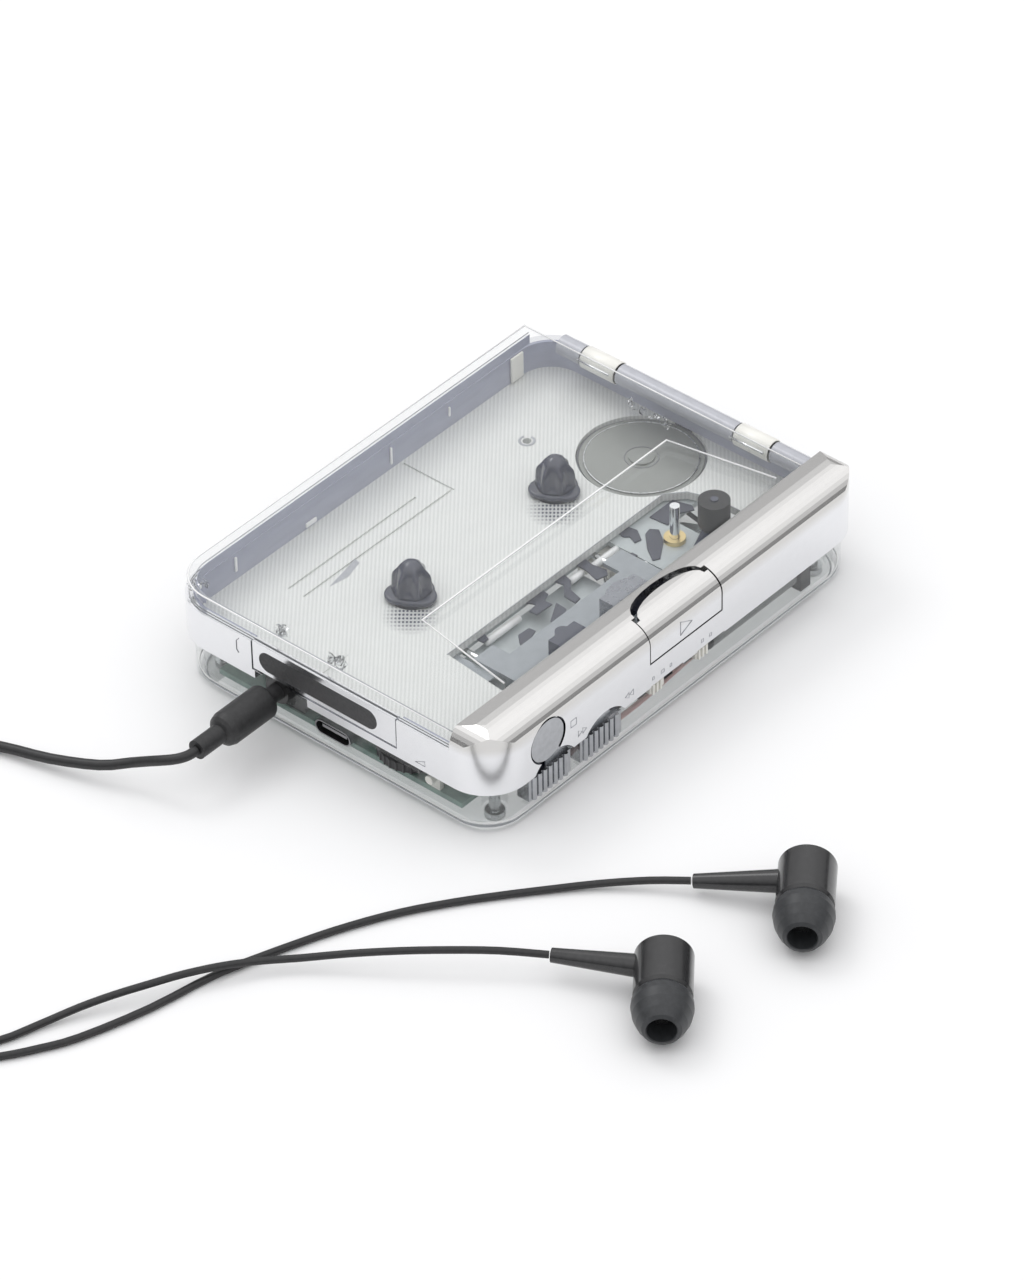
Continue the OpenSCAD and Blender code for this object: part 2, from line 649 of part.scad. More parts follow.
red_path = [[12.3, -36.4, 4.4], [4, -36.2, 3.4], [-6, -36.4, 2.7], [-18, -36.4, 2.6], [-30, -36, 2.6],
    [-38, -35, 2.7], [-41.5, -33, 2.8], [-44.4, -31.9, 4], [-45, -30.2, 5.3], [-43.9, -28.2, 5.4],
    [-42.4, -26.4, 5.1], [-41.6, -25.6, 4.8]];
black_path = [[12.3, -34.4, 3.6], [4, -34, 2.6], [-6, -33.8, 2.4], [-18, -33.6, 2.4], [-28, -33.2, 2.6],
    [-32, -32.5, 3.4], [-34.4, -31.4, 5], [-35, -29.4, 5.4], [-35.4, -27.8, 4.8]];
module red_wire() color([0.75, 0.16, 0.12]) tube(smooth_route(red_path, 3), 0.55);
module black_wire() color([0.1, 0.1, 0.11]) tube(smooth_route(black_path, 3), 0.55);

// ---- drive ----

module motor() {
    color([0.56, 0.58, 0.57]) difference() {
        union() {
            rod(motor_x, motor_y, 5, 11.8, motor_r);
            rod(motor_x, motor_y, 11.6, 12.4, flange_r);
            rod(motor_x, motor_y, 12.4, 12.6, flange_r - 1);
            rod(motor_x, motor_y, 12.6, 13, 2.6);
        }
        rod(motor_x, motor_y, 4, 12, 0.9 + run_gap);
    }
}

module motor_shaft() {
    color([0.75, 0.76, 0.78]) rod(motor_x, motor_y, 1.9, 11.9, 0.9);
}

module motor_pulley() {
    color([0.72, 0.62, 0.3]) translate([motor_x, motor_y, 0]) rotate_extrude() polygon([[0.9, 2.1],
        [pulley_r + 0.6, 2.1], [pulley_r + 0.6, 2.5], [pulley_r, belt_z - 0.4], [pulley_r, belt_z + 0.4],
        [pulley_r + 0.6, 3.9], [pulley_r + 0.6, 4.3], [0.9, 4.3]]);
}

module belt_run(r) {
    hull() {
        translate([motor_x, motor_y]) circle(pulley_r + r, $fn = 32);
        translate([capstan_x, capstan_y]) circle(flywheel_r - 0.7 + r, $fn = 64);
    }
}

module drive_belt() {
    color([0.08, 0.08, 0.08]) translate([0, 0, belt_z - 0.35]) linear_extrude(0.7) difference() {
        belt_run(0.75);
        belt_run(0.1);
    }
}

module flywheel() {
    color([0.7, 0.71, 0.72]) translate([capstan_x, capstan_y, 0]) rotate_extrude() polygon([[1, 2],
        [flywheel_r, 2], [flywheel_r, 2.4], [flywheel_r - 0.7, belt_z - 0.4], [flywheel_r - 0.7, belt_z + 0.4],
        [flywheel_r, 4], [flywheel_r, 4.4], [5, 4.4], [5, 5.2], [1, 5.2]]);
}

module capstan() {
    color([0.85, 0.86, 0.88]) rod(capstan_x, capstan_y, 1.9, 19.6, 1);
}

module flywheel_pinion() {
    color([0.9, 0.9, 0.86]) translate([capstan_x, capstan_y, gear_z - 0.1]) gear(pinion_n, pinion_turn, 1);
}

module capstan_bearing() {
    color([0.72, 0.6, 0.32]) difference() {
        rod(capstan_x, capstan_y, 9.8, 12, 2.2);
        rod(capstan_x, capstan_y, 9, 13, 1 + run_gap);
    }
}

module idler_gear() {
    color([0.9, 0.9, 0.86]) translate([idler_at.x, idler_at.y, gear_z]) gear(idler_n, idler_turn, 1 + run_gap);
}

module idler_post() {
    color([0.75, 0.76, 0.78]) {
        translate([idler_at.x, idler_at.y, 7.1]) cylinder(r = 1, h = 3.9);
        translate([idler_at.x, idler_at.y, 6.6]) cylinder(r = 2, h = 0.6);
    }
}

module take_up_gear() {
    color([0.3, 0.33, 0.42]) translate([take_up_x, spindle_y, gear_z]) gear(reel_n, reel_turn, 1.6);
}

module supply_disc() {
    color([0.3, 0.33, 0.42]) difference() {
        rod(supply_x, spindle_y, gear_z, gear_z + gear_t, 8);
        rod(supply_x, spindle_y, gear_z - 1, gear_z + 5, 1.6);
    }
}

// a drive spindle: stem, three-lobed flange and a ribbed, dome-topped nose
module spindle(x) {
    color([0.2, 0.22, 0.29]) translate([x, spindle_y, 0]) {
        translate([0, 0, gear_z - 1.2]) cylinder(r = 1.6, h = deck_top - gear_z + 1.2);
        translate([0, 0, gear_z + gear_t + 2.2]) cylinder(r = 3.9, h = 2.6);
        translate([0, 0, deck_top + 0.35]) {
            cylinder(r = 4.5, h = 1.2);
            for (k = [0:2]) rotate(120 * k + 30) translate([2.7, 0, 0]) cylinder(r = 2.9, h = 1.2);
            rotate_extrude() polygon([[0, 1], [4.1, 1], [3.6, 2.4], [3.2, 5.2], [2.5, 7], [1.4, 7.9], [0, spindle_top - deck_top - 0.35]]);
            for (k = [0:5]) rotate(60 * k) rotate([90, 0, 0]) translate([0, 0, -0.45]) linear_extrude(0.9)
                polygon([[0, 1], [4.2, 1], [3.95, 5.4], [3.2, 6.8], [0, 7]]);
        }
    }
}

module take_up_spindle() spindle(take_up_x);
module supply_spindle() spindle(supply_x);

// ---- heads ----

module guide_rod() {
    color([0.82, 0.83, 0.85]) {
        for (x = [-24, 14]) rod_y(x, -26.4, -6.5, 10.1, 0.8);
    }
}

module head_bridge() {
    z = 11.35;
    color([0.5, 0.53, 0.6]) difference() {
        union() {
            box([-26.5, -26.6, z], [17, -15.5, z + 0.9]);
            box([-26.5, -15.6, z], [-21, -11.2, z + 0.9]);
            box([11.5, -15.6, z], [17, -11.2, z + 0.9]);
            box([-2, -30.4, z], [3, -26.5, z + 0.9]);
            box([-2, -31.4, z], [3, -30.3, 18.7]);
            for (x = [-24, 14]) box([x - 1.7, -22.4, 8.8], [x + 1.7, -18.6, z + 0.1]);
        }
        rod(-14, -24.8, 10, 13, 0.9);
        rod(10, -24.8, 10, 13, 0.9);
        for (x = [-24, 14]) rod_y(x, -30, 0, 10.1, 0.8 + run_gap);
    }
}

module play_head() {
    color([0.78, 0.79, 0.8]) {
        box([-5, -27.2, 12.25], [7, -23.6, 13.5]);
        box([-4, -27.2, 13.4], [6, -23.6, 19.4]);
        intersection() {
            rod(1, -28.6, 13.5, 19.4, 6);
            box([-3.2, -23.8, 13.5], [5.2, -22, 19.4]);
        }
    }
}

module erase_head() {
    color([0.22, 0.24, 0.3]) {
        box([-19, -27.2, 12.25], [-11.5, -23.6, 18.6]);
        rod(-15.2, -24, 12.25, 18.6, 1.6);
    }
}

module pinch_arm() {
    color([0.24, 0.26, 0.34]) difference() {
        union() {
            hull() {
                rod(pinch_pivot.x, pinch_pivot.y, 12.6, 13.8, 1.8);
                rod(pinch_at.x, pinch_at.y, 12.6, 13.8, 1.8);
            }
            rod(pinch_at.x, pinch_at.y, 13.7, 20.2, 0.8);
        }
        rod(pinch_pivot.x, pinch_pivot.y, 12, 14.6, 0.9 + run_gap);
    }
}

module pinch_roller() {
    color([0.09, 0.09, 0.1]) difference() {
        rod(pinch_at.x, pinch_at.y, 14.1, 19.9, 3.2);
        rod(pinch_at.x, pinch_at.y, 13, 21, 0.8 + run_gap);
    }
}

// ---- fasteners ----

module case_screws() {
    color([0.7, 0.71, 0.73]) screw_spots() {
        difference() {
            translate([0, 0, 0.2]) cylinder(r = 1.95, h = 1.15);
            for (a = [0, 90]) rotate(a) translate([-1.2, -0.25, -1]) cube([2.4, 0.5, 1.8]);
        }
        translate([0, 0, 1.3]) cylinder(r = 1.1, h = 8.4);
    }
}

// ---- earphones ----

module ear_plug() {
    color([0.05, 0.05, 0.05]) {
        rod_x(-half_l - 3.2, -44.6, jack_y, jack_z, 1.75);
        translate([-half_l - 3, jack_y, jack_z]) rotate([0, -90, 0]) rotate_extrude() polygon([[0, -0.4], [2.7, -0.4],
            [3.3, 0], [3.55, 0.5], [3.55, 10.6], [3.2, 11.8], [2.6, 12.4], [2, 12.7], [2, 18.9], [0, 18.9]]);
    }
}

module cord_main() {
    color([0.05, 0.05, 0.05]) tube(smooth_route(main_route, 3), cord_d / 2);
}

module cord_coil() {
    color([0.05, 0.05, 0.05]) translate([coil_at.x, coil_at.y, 0.1]) rotate_extrude() polygon([
        [coil_mid_r - coil_half, 1.4], [coil_mid_r - coil_half + 1.4, 0], [coil_mid_r + coil_half - 1.4, 0],
        [coil_mid_r + coil_half, 1.4], [coil_mid_r + coil_half, 5], [coil_mid_r + coil_half - 1.4, 6.4],
        [coil_mid_r - coil_half + 1.4, 6.4], [coil_mid_r - coil_half, 5]]);
}

module cord_splitter() {
    color([0.05, 0.05, 0.05]) hull() {
        translate([-154.6, 17.6, 1.9]) sphere(1.8, $fn = 24);
        translate([-149.4, 17.6, 1.9]) sphere(1.8, $fn = 24);
        translate([-147.2, 18.2, 1.35]) sphere(1.3, $fn = 24);
        translate([-147.2, 16.4, 1.35]) sphere(1.3, $fn = 24);
    }
}

module lead_left() color([0.05, 0.05, 0.05]) tube(smooth_route(left_route, 3), lead_d / 2);
module lead_right() color([0.05, 0.05, 0.05]) tube(smooth_route(right_route, 3), lead_d / 2);

// an earpiece lies on its side: a round housing with a nozzle, a soft tip and a tapered stem for the lead
left_back = [-26.2, -92.9, 5.9];
left_aim = -144;
right_back = [-62.3, -88.4, 5.9];
right_aim = -141.5;
left_stem = [[-33.4, -90.3, 5.2], [-40.6, -77.4, 2.8]];
right_stem = [[-67.4, -86.1, 5.4], [-74.6, -71.8, 4.7]];
module ear_place(at, turn) {
    translate(at) rotate([0, 0, turn]) rotate([0, 90, 0]) children();
}
module stem(ends) {
    run = ends[1] - ends[0];
    translate(ends[0]) rotate([0, acos(run.z / norm(run)), atan2(run.y, run.x)]) {
        translate([0, 0, -1.5]) cylinder(r1 = 2.3, r2 = 1.4, h = norm(run) + 1.5);
    }
}
module housing(at, turn) {
    ear_place(at, turn) rotate_extrude() polygon([[0, 0], [4.8, 0], [5.55, 0.7], [5.55, 11.4], [5.1, 12],
        [2.4, 12], [2.4, 16], [0, 16]]);
}
module earpiece_left() {
    color([0.05, 0.05, 0.05]) {
        housing(left_back, left_aim);
        stem(left_stem);
    }
}
module earpiece_right() {
    color([0.05, 0.05, 0.05]) {
        housing(right_back, right_aim);
        stem(right_stem);
    }
}
module ear_tip(at, turn) {
    ear_place(at, turn) rotate_extrude() polygon([[2.45, 12.15], [5.2, 12.15], [5.75, 13.2], [5.85, 14.6],
        [5.5, 16.6], [4.7, 18.6], [3.7, 20.2], [3, 20.6], [2.8, 20.4], [2.45, 16]]);
}
module ear_tips() {
    color([0.04, 0.04, 0.04]) {
        ear_tip(left_back, left_aim);
        ear_tip(right_back, right_aim);
    }
}

module rewind_button() transport_key(key_x[0]);
module forward_button() transport_key(key_x[1]);

bottom_case();
mid_frame();
well_frame();
deck_plate();
chassis_plate();
hinge_rail();
hinge_pins();
lid();
lid_tab();
grip_strip();
play_button();
play_lever();
stop_button();
rewind_button();
forward_button();
button_guides();
mode_switch();
tape_switch();
switch_bodies();
volume_wheel();
volume_pot();
main_board();
board_chips();
headphone_jack();
usb_port();
status_led();
battery();
battery_strap();
red_wire();
black_wire();
motor();
motor_shaft();
motor_pulley();
drive_belt();
flywheel();
capstan();
flywheel_pinion();
capstan_bearing();
idler_gear();
idler_post();
take_up_gear();
take_up_spindle();
supply_disc();
supply_spindle();
guide_rod();
head_bridge();
play_head();
erase_head();
pinch_arm();
pinch_roller();
case_screws();
ear_plug();
cord_main();
cord_coil();
cord_splitter();
lead_left();
lead_right();
earpiece_left();
earpiece_right();
ear_tips();
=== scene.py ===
"""Looks for the portable cassette player: materials, small details, cords, studio and camera."""
import bpy
import bmesh
import math
import random
from mathutils import Vector, Matrix


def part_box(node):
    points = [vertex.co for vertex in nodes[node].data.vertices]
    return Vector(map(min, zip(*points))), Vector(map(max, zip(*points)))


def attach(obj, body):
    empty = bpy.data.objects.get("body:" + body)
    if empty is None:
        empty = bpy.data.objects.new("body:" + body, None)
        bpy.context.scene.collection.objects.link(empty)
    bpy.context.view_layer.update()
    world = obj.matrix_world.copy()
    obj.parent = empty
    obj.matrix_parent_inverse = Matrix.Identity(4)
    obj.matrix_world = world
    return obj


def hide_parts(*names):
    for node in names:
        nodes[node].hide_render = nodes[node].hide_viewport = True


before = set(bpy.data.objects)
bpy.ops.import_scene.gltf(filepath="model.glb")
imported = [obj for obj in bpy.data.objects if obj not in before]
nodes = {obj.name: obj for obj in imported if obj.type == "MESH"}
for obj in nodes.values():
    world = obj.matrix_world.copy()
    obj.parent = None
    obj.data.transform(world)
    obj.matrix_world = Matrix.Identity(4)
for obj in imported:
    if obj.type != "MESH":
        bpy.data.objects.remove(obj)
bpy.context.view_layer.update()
MM = 0.001


def mm(*v):
    return tuple(x * MM for x in v)


# ---------------------------------------------------------------- camera
scene = bpy.context.scene
cam_data = bpy.data.cameras.new("camera")
cam = bpy.data.objects.new("camera", cam_data)
scene.collection.objects.link(cam)
# where the camera stands, in metres, and its right and up directions
eye = (-0.7604, -0.6731, 0.8303)
right = Vector((0.6540, -0.7563, -0.0163)).normalized()
up = Vector((0.4891, 0.4063, 0.7719))
up = (up - right * up.dot(right)).normalized()
back = right.cross(up)
cam.matrix_world = Matrix((
    (right.x, up.x, back.x, eye[0]),
    (right.y, up.y, back.y, eye[1]),
    (right.z, up.z, back.z, eye[2]),
    (0, 0, 0, 1)))
cam_data.lens = 189.22
cam_data.sensor_width = 36
cam_data.clip_start = 0.02
cam_data.clip_end = 20
scene.camera = cam


# ---------------------------------------------------------------- helpers
def collect(me, name, material, body, smooth=True):
    ob = bpy.data.objects.new(name, me)
    scene.collection.objects.link(ob)
    me.materials.append(material)
    if smooth:
        for p in me.polygons:
            p.use_smooth = True
    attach(ob, body)
    return ob


def mesh_from(verts, faces, name):
    me = bpy.data.meshes.new(name)
    me.from_pydata([Vector(v) for v in verts], [], faces)
    bm = bmesh.new()
    bm.from_mesh(me)
    bmesh.ops.recalc_face_normals(bm, faces=bm.faces)
    bm.to_mesh(me)
    bm.free()
    return me


def smooth_points(pts, steps=4):
    out = []
    n = len(pts)
    for i in range(n - 1):
        a, b, c, d = (Vector(pts[max(i - 1, 0)]), Vector(pts[i]), Vector(pts[i + 1]),
                      Vector(pts[min(i + 2, n - 1)]))
        for s in range(steps):
            t = s / steps
            out.append(0.5 * (2 * b + t * (c - a) + t * t * (2 * a - 5 * b + 4 * c - d)
                              + t ** 3 * (3 * b - a - 3 * c + d)))
    out.append(Vector(pts[-1]))
    return out


def node_mat(name):
    m = bpy.data.materials.new(name)
    m.use_nodes = True
    nt = m.node_tree
    nt.nodes.clear()
    out = nt.nodes.new("ShaderNodeOutputMaterial")
    return m, nt, out


def surface(name, color, rough=0.4, metallic=0.0, vary=0.04, grain=400.0, bump=0.05, coat=0.0, spec=0.5,
            rough_vary=0.06, stretch=(1, 1, 1), bump_dist=0.0002):
    """An opaque procedural surface: colour, roughness and relief all carry a fine noise."""
    m, nt, out = node_mat(name)
    b = nt.nodes.new("ShaderNodeBsdfPrincipled")
    tc = nt.nodes.new("ShaderNodeTexCoord")
    mp = nt.nodes.new("ShaderNodeMapping")
    mp.inputs["Scale"].default_value = stretch
    nz = nt.nodes.new("ShaderNodeTexNoise")
    nz.inputs["Scale"].default_value = grain
    nz.inputs["Detail"].default_value = 4
    nt.links.new(tc.outputs["Object"], mp.inputs["Vector"])
    nt.links.new(mp.outputs["Vector"], nz.inputs["Vector"])
    ramp = nt.nodes.new("ShaderNodeValToRGB")
    lo = [max(0, c * (1 - vary)) for c in color]
    hi = [min(1, c * (1 + vary)) for c in color]
    ramp.color_ramp.elements[0].color = (*lo, 1)
    ramp.color_ramp.elements[1].color = (*hi, 1)
    ramp.color_ramp.elements[0].position = 0.3
    ramp.color_ramp.elements[1].position = 0.7
    nt.links.new(nz.outputs["Fac"], ramp.inputs["Fac"])
    nt.links.new(ramp.outputs["Color"], b.inputs["Base Color"])
    mr = nt.nodes.new("ShaderNodeMapRange")
    mr.inputs["To Min"].default_value = max(0.02, rough - rough_vary)
    mr.inputs["To Max"].default_value = min(1, rough + rough_vary)
    nt.links.new(nz.outputs["Fac"], mr.inputs["Value"])
    nt.links.new(mr.outputs["Result"], b.inputs["Roughness"])
    b.inputs["Metallic"].default_value = metallic
    b.inputs["Specular IOR Level"].default_value = spec
    b.inputs["Coat Weight"].default_value = coat
    b.inputs["Coat Roughness"].default_value = 0.08
    if bump:
        bp = nt.nodes.new("ShaderNodeBump")
        bp.inputs["Strength"].default_value = bump
        bp.inputs["Distance"].default_value = bump_dist
        nt.links.new(nz.outputs["Fac"], bp.inputs["Height"])
        nt.links.new(bp.outputs["Normal"], b.inputs["Normal"])
    nt.links.new(b.outputs["BSDF"], out.inputs["Surface"])
    return m


def clear(name, tint, rough=0.02, ior=1.47, shadow=None, grain=300.0, bump=0.01):
    """Clear moulded plastic. Light rays pass straight through it, so what is inside stays lit."""
    m, nt, out = node_mat(name)
    g = nt.nodes.new("ShaderNodeBsdfPrincipled")
    g.inputs["Base Color"].default_value = (*tint, 1)
    g.inputs["Roughness"].default_value = rough
    g.inputs["IOR"].default_value = ior
    g.inputs["Transmission Weight"].default_value = 1.0
    t = nt.nodes.new("ShaderNodeBsdfTransparent")
    t.inputs["Color"].default_value = (*(shadow or tint), 1)
    lp = nt.nodes.new("ShaderNodeLightPath")
    mix = nt.nodes.new("ShaderNodeMixShader")
    nt.links.new(lp.outputs["Is Shadow Ray"], mix.inputs["Fac"])
    nt.links.new(g.outputs["BSDF"], mix.inputs[1])
    nt.links.new(t.outputs["BSDF"], mix.inputs[2])
    if bump:
        tc = nt.nodes.new("ShaderNodeTexCoord")
        nz = nt.nodes.new("ShaderNodeTexNoise")
        nz.inputs["Scale"].default_value = grain
        nt.links.new(tc.outputs["Object"], nz.inputs["Vector"])
        bp = nt.nodes.new("ShaderNodeBump")
        bp.inputs["Strength"].default_value = bump
        bp.inputs["Distance"].default_value = 0.0002
        nt.links.new(nz.outputs["Fac"], bp.inputs["Height"])
        nt.links.new(bp.outputs["Normal"], g.inputs["Normal"])
    nt.links.new(mix.outputs["Shader"], out.inputs["Surface"])
    return m


def thin_clear(name, tint, rough=0.03, ior=1.45, haze=0.03, haze_color=(0.9, 0.92, 0.93), grain=220.0):
    """Thin clear plastic: it lets light straight through, with a Fresnel gloss and a trace of milkiness."""
    m, nt, out = node_mat(name)
    t = nt.nodes.new("ShaderNodeBsdfTransparent")
    t.inputs["Color"].default_value = (*tint, 1)
    g = nt.nodes.new("ShaderNodeBsdfGlossy")
    g.inputs["Roughness"].default_value = rough
    g.inputs["Color"].default_value = (1, 1, 1, 1)
    d = nt.nodes.new("ShaderNodeBsdfDiffuse")
    tc = nt.nodes.new("ShaderNodeTexCoord")
    nz = nt.nodes.new("ShaderNodeTexNoise")
    nz.inputs["Scale"].default_value = grain
    nz.inputs["Detail"].default_value = 3
    nt.links.new(tc.outputs["Object"], nz.inputs["Vector"])
    hz = nt.nodes.new("ShaderNodeMapRange")
    hz.inputs["To Min"].default_value = haze * 0.5
    hz.inputs["To Max"].default_value = haze * 1.5
    nt.links.new(nz.outputs["Fac"], hz.inputs["Value"])
    d.inputs["Color"].default_value = (*haze_color, 1)
    a = nt.nodes.new("ShaderNodeMixShader")
    nt.links.new(hz.outputs["Result"], a.inputs["Fac"])
    nt.links.new(t.outputs["BSDF"], a.inputs[1])
    nt.links.new(d.outputs["BSDF"], a.inputs[2])
    lw = nt.nodes.new("ShaderNodeLayerWeight")
    lw.inputs["Blend"].default_value = 0.5
    pw = nt.nodes.new("ShaderNodeMath")
    pw.operation = "POWER"
    pw.inputs[1].default_value = 5.0
    nt.links.new(lw.outputs["Facing"], pw.inputs[0])
    f = nt.nodes.new("ShaderNodeMath")
    f.operation = "MULTIPLY_ADD"
    f.inputs[1].default_value = 0.95
    f.inputs[2].default_value = ((ior - 1) / (ior + 1)) ** 2
    nt.links.new(pw.outputs["Value"], f.inputs[0])
    b = nt.nodes.new("ShaderNodeMixShader")
    nt.links.new(f.outputs["Value"], b.inputs["Fac"])
    nt.links.new(a.outputs["Shader"], b.inputs[1])
    nt.links.new(g.outputs["BSDF"], b.inputs[2])
    nt.links.new(b.outputs["Shader"], out.inputs["Surface"])
    return m


def main_shader(m):
    return [n for n in m.node_tree.nodes if n.type == "BSDF_PRINCIPLED"][0]


def base_link(m):
    b = main_shader(m)
    return b, b.inputs["Base Color"].links[0].from_socket


def by_height(m, low, high, z0, z1):
    """Tint a surface from one colour low down to another higher up."""
    nt = m.node_tree
    b, src = base_link(m)
    tc = nt.nodes.new("ShaderNodeTexCoord")
    sp = nt.nodes.new("ShaderNodeSeparateXYZ")
    nt.links.new(tc.outputs["Object"], sp.inputs["Vector"])
    mr = nt.nodes.new("ShaderNodeMapRange")
    mr.inputs["From Min"].default_value = z0 * MM
    mr.inputs["From Max"].default_value = z1 * MM
    nt.links.new(sp.outputs["Z"], mr.inputs["Value"])
    rp = nt.nodes.new("ShaderNodeValToRGB")
    rp.color_ramp.elements[0].color = (*low, 1)
    rp.color_ramp.elements[1].color = (*high, 1)
    nt.links.new(mr.outputs["Result"], rp.inputs["Fac"])
    mx = nt.nodes.new("ShaderNodeMix")
    mx.data_type = "RGBA"
    mx.blend_type = "MULTIPLY"
    mx.inputs[0].default_value = 1.0
    nt.links.new(src, mx.inputs[6])
    nt.links.new(rp.outputs["Color"], mx.inputs[7])
    nt.links.new(mx.outputs[2], b.inputs["Base Color"])
    return m


def painted_spindle_reflection(m, spots, reach, pitch, color, angle):
    """The dark reflection of each spindle in the ribbed deck, painted into the deck's colour as a fading
    grid of dots.
    """
    nt = m.node_tree
    b, src = base_link(m)
    tc = nt.nodes.new("ShaderNodeTexCoord")
    masks = []
    for x, y in spots:
        v = nt.nodes.new("ShaderNodeVectorMath")
        v.operation = "SUBTRACT"
        v.inputs[1].default_value = (x * MM, y * MM, 0.013)
        nt.links.new(tc.outputs["Object"], v.inputs[0])
        ln = nt.nodes.new("ShaderNodeVectorMath")
        ln.operation = "LENGTH"
        nt.links.new(v.outputs["Vector"], ln.inputs[0])
        mr = nt.nodes.new("ShaderNodeMapRange")
        mr.inputs["From Min"].default_value = reach[0] * MM
        mr.inputs["From Max"].default_value = reach[1] * MM
        mr.inputs["To Min"].default_value = 1.0
        mr.inputs["To Max"].default_value = 0.0
        nt.links.new(ln.outputs["Value"], mr.inputs["Value"])
        masks.append(mr.outputs["Result"])
    both = nt.nodes.new("ShaderNodeMath")
    both.operation = "MAXIMUM"
    nt.links.new(masks[0], both.inputs[0])
    nt.links.new(masks[1], both.inputs[1])
    mp = nt.nodes.new("ShaderNodeMapping")
    mp.inputs["Rotation"].default_value = (0, 0, angle)
    nt.links.new(tc.outputs["Object"], mp.inputs["Vector"])
    fac = []
    for axis, p in (("X", pitch * 1.5), ("Y", pitch)):
        w = nt.nodes.new("ShaderNodeTexWave")
        w.wave_type = "BANDS"
        w.bands_direction = axis
        w.inputs["Scale"].default_value = 0.31416 / (p * MM)
        nt.links.new(mp.outputs["Vector"], w.inputs["Vector"])
        fac.append(w.outputs["Fac"])
    dots = nt.nodes.new("ShaderNodeMath")
    dots.operation = "MULTIPLY"
    nt.links.new(fac[0], dots.inputs[0])
    nt.links.new(fac[1], dots.inputs[1])
    soft = nt.nodes.new("ShaderNodeMapRange")
    soft.inputs["From Min"].default_value = 0.1
    soft.inputs["From Max"].default_value = 0.6
    soft.inputs["To Min"].default_value = 0.2
    soft.inputs["To Max"].default_value = 1.0
    nt.links.new(dots.outputs["Value"], soft.inputs["Value"])
    k = nt.nodes.new("ShaderNodeMath")
    k.operation = "MULTIPLY"
    nt.links.new(both.outputs["Value"], k.inputs[0])
    nt.links.new(soft.outputs["Result"], k.inputs[1])
    mx = nt.nodes.new("ShaderNodeMix")
    mx.data_type = "RGBA"
    nt.links.new(k.outputs["Value"], mx.inputs[0])
    nt.links.new(src, mx.inputs[6])
    mx.inputs[7].default_value = (*color, 1)
    nt.links.new(mx.outputs[2], b.inputs["Base Color"])
    return m


def ribbed(name, color, rough, pitch, depth, axis="X", groove_shade=0.03, angle=0.0):
    """Pale moulded plastic with very fine parallel ribs, each groove darkened with painted shade."""
    m = surface(name, color, rough, vary=0.015, grain=260, bump=0.0, rough_vary=0.03)
    nt = m.node_tree
    b = [n for n in nt.nodes if n.type == "BSDF_PRINCIPLED"][0]
    tc = [n for n in nt.nodes if n.type == "TEX_COORD"][0]
    w = nt.nodes.new("ShaderNodeTexWave")
    w.wave_type = "BANDS"
    w.bands_direction = axis
    w.inputs["Scale"].default_value = 0.3142 / pitch
    w.inputs["Distortion"].default_value = 0
    mp = nt.nodes.new("ShaderNodeMapping")
    mp.inputs["Rotation"].default_value = (0, 0, angle)
    nt.links.new(tc.outputs["Object"], mp.inputs["Vector"])
    nt.links.new(mp.outputs["Vector"], w.inputs["Vector"])
    bp = nt.nodes.new("ShaderNodeBump")
    bp.inputs["Strength"].default_value = 0.5
    bp.inputs["Distance"].default_value = depth
    nt.links.new(w.outputs["Fac"], bp.inputs["Height"])
    nt.links.new(bp.outputs["Normal"], b.inputs["Normal"])
    ramp = [n for n in nt.nodes if n.type == "VALTORGB"][0]
    mixc = nt.nodes.new("ShaderNodeMix")
    mixc.data_type = "RGBA"
    mixc.blend_type = "MULTIPLY"
    mixc.inputs[0].default_value = 1.0
    # painted shade: the colour darkens in each groove, following the same wave as the relief
    groove_shade_ramp = nt.nodes.new("ShaderNodeMapRange")
    groove_shade_ramp.inputs["To Min"].default_value = 1 - groove_shade
    groove_shade_ramp.inputs["To Max"].default_value = 1.0
    nt.links.new(w.outputs["Fac"], groove_shade_ramp.inputs["Value"])
    nt.links.new(ramp.outputs["Color"], mixc.inputs[6])
    nt.links.new(groove_shade_ramp.outputs["Result"], mixc.inputs[7])
    nt.links.new(mixc.outputs[2], b.inputs["Base Color"])
    return m


# ---------------------------------------------------------------- materials
# direction of the fine ribs in the deck
RIB = -math.radians(39.7)
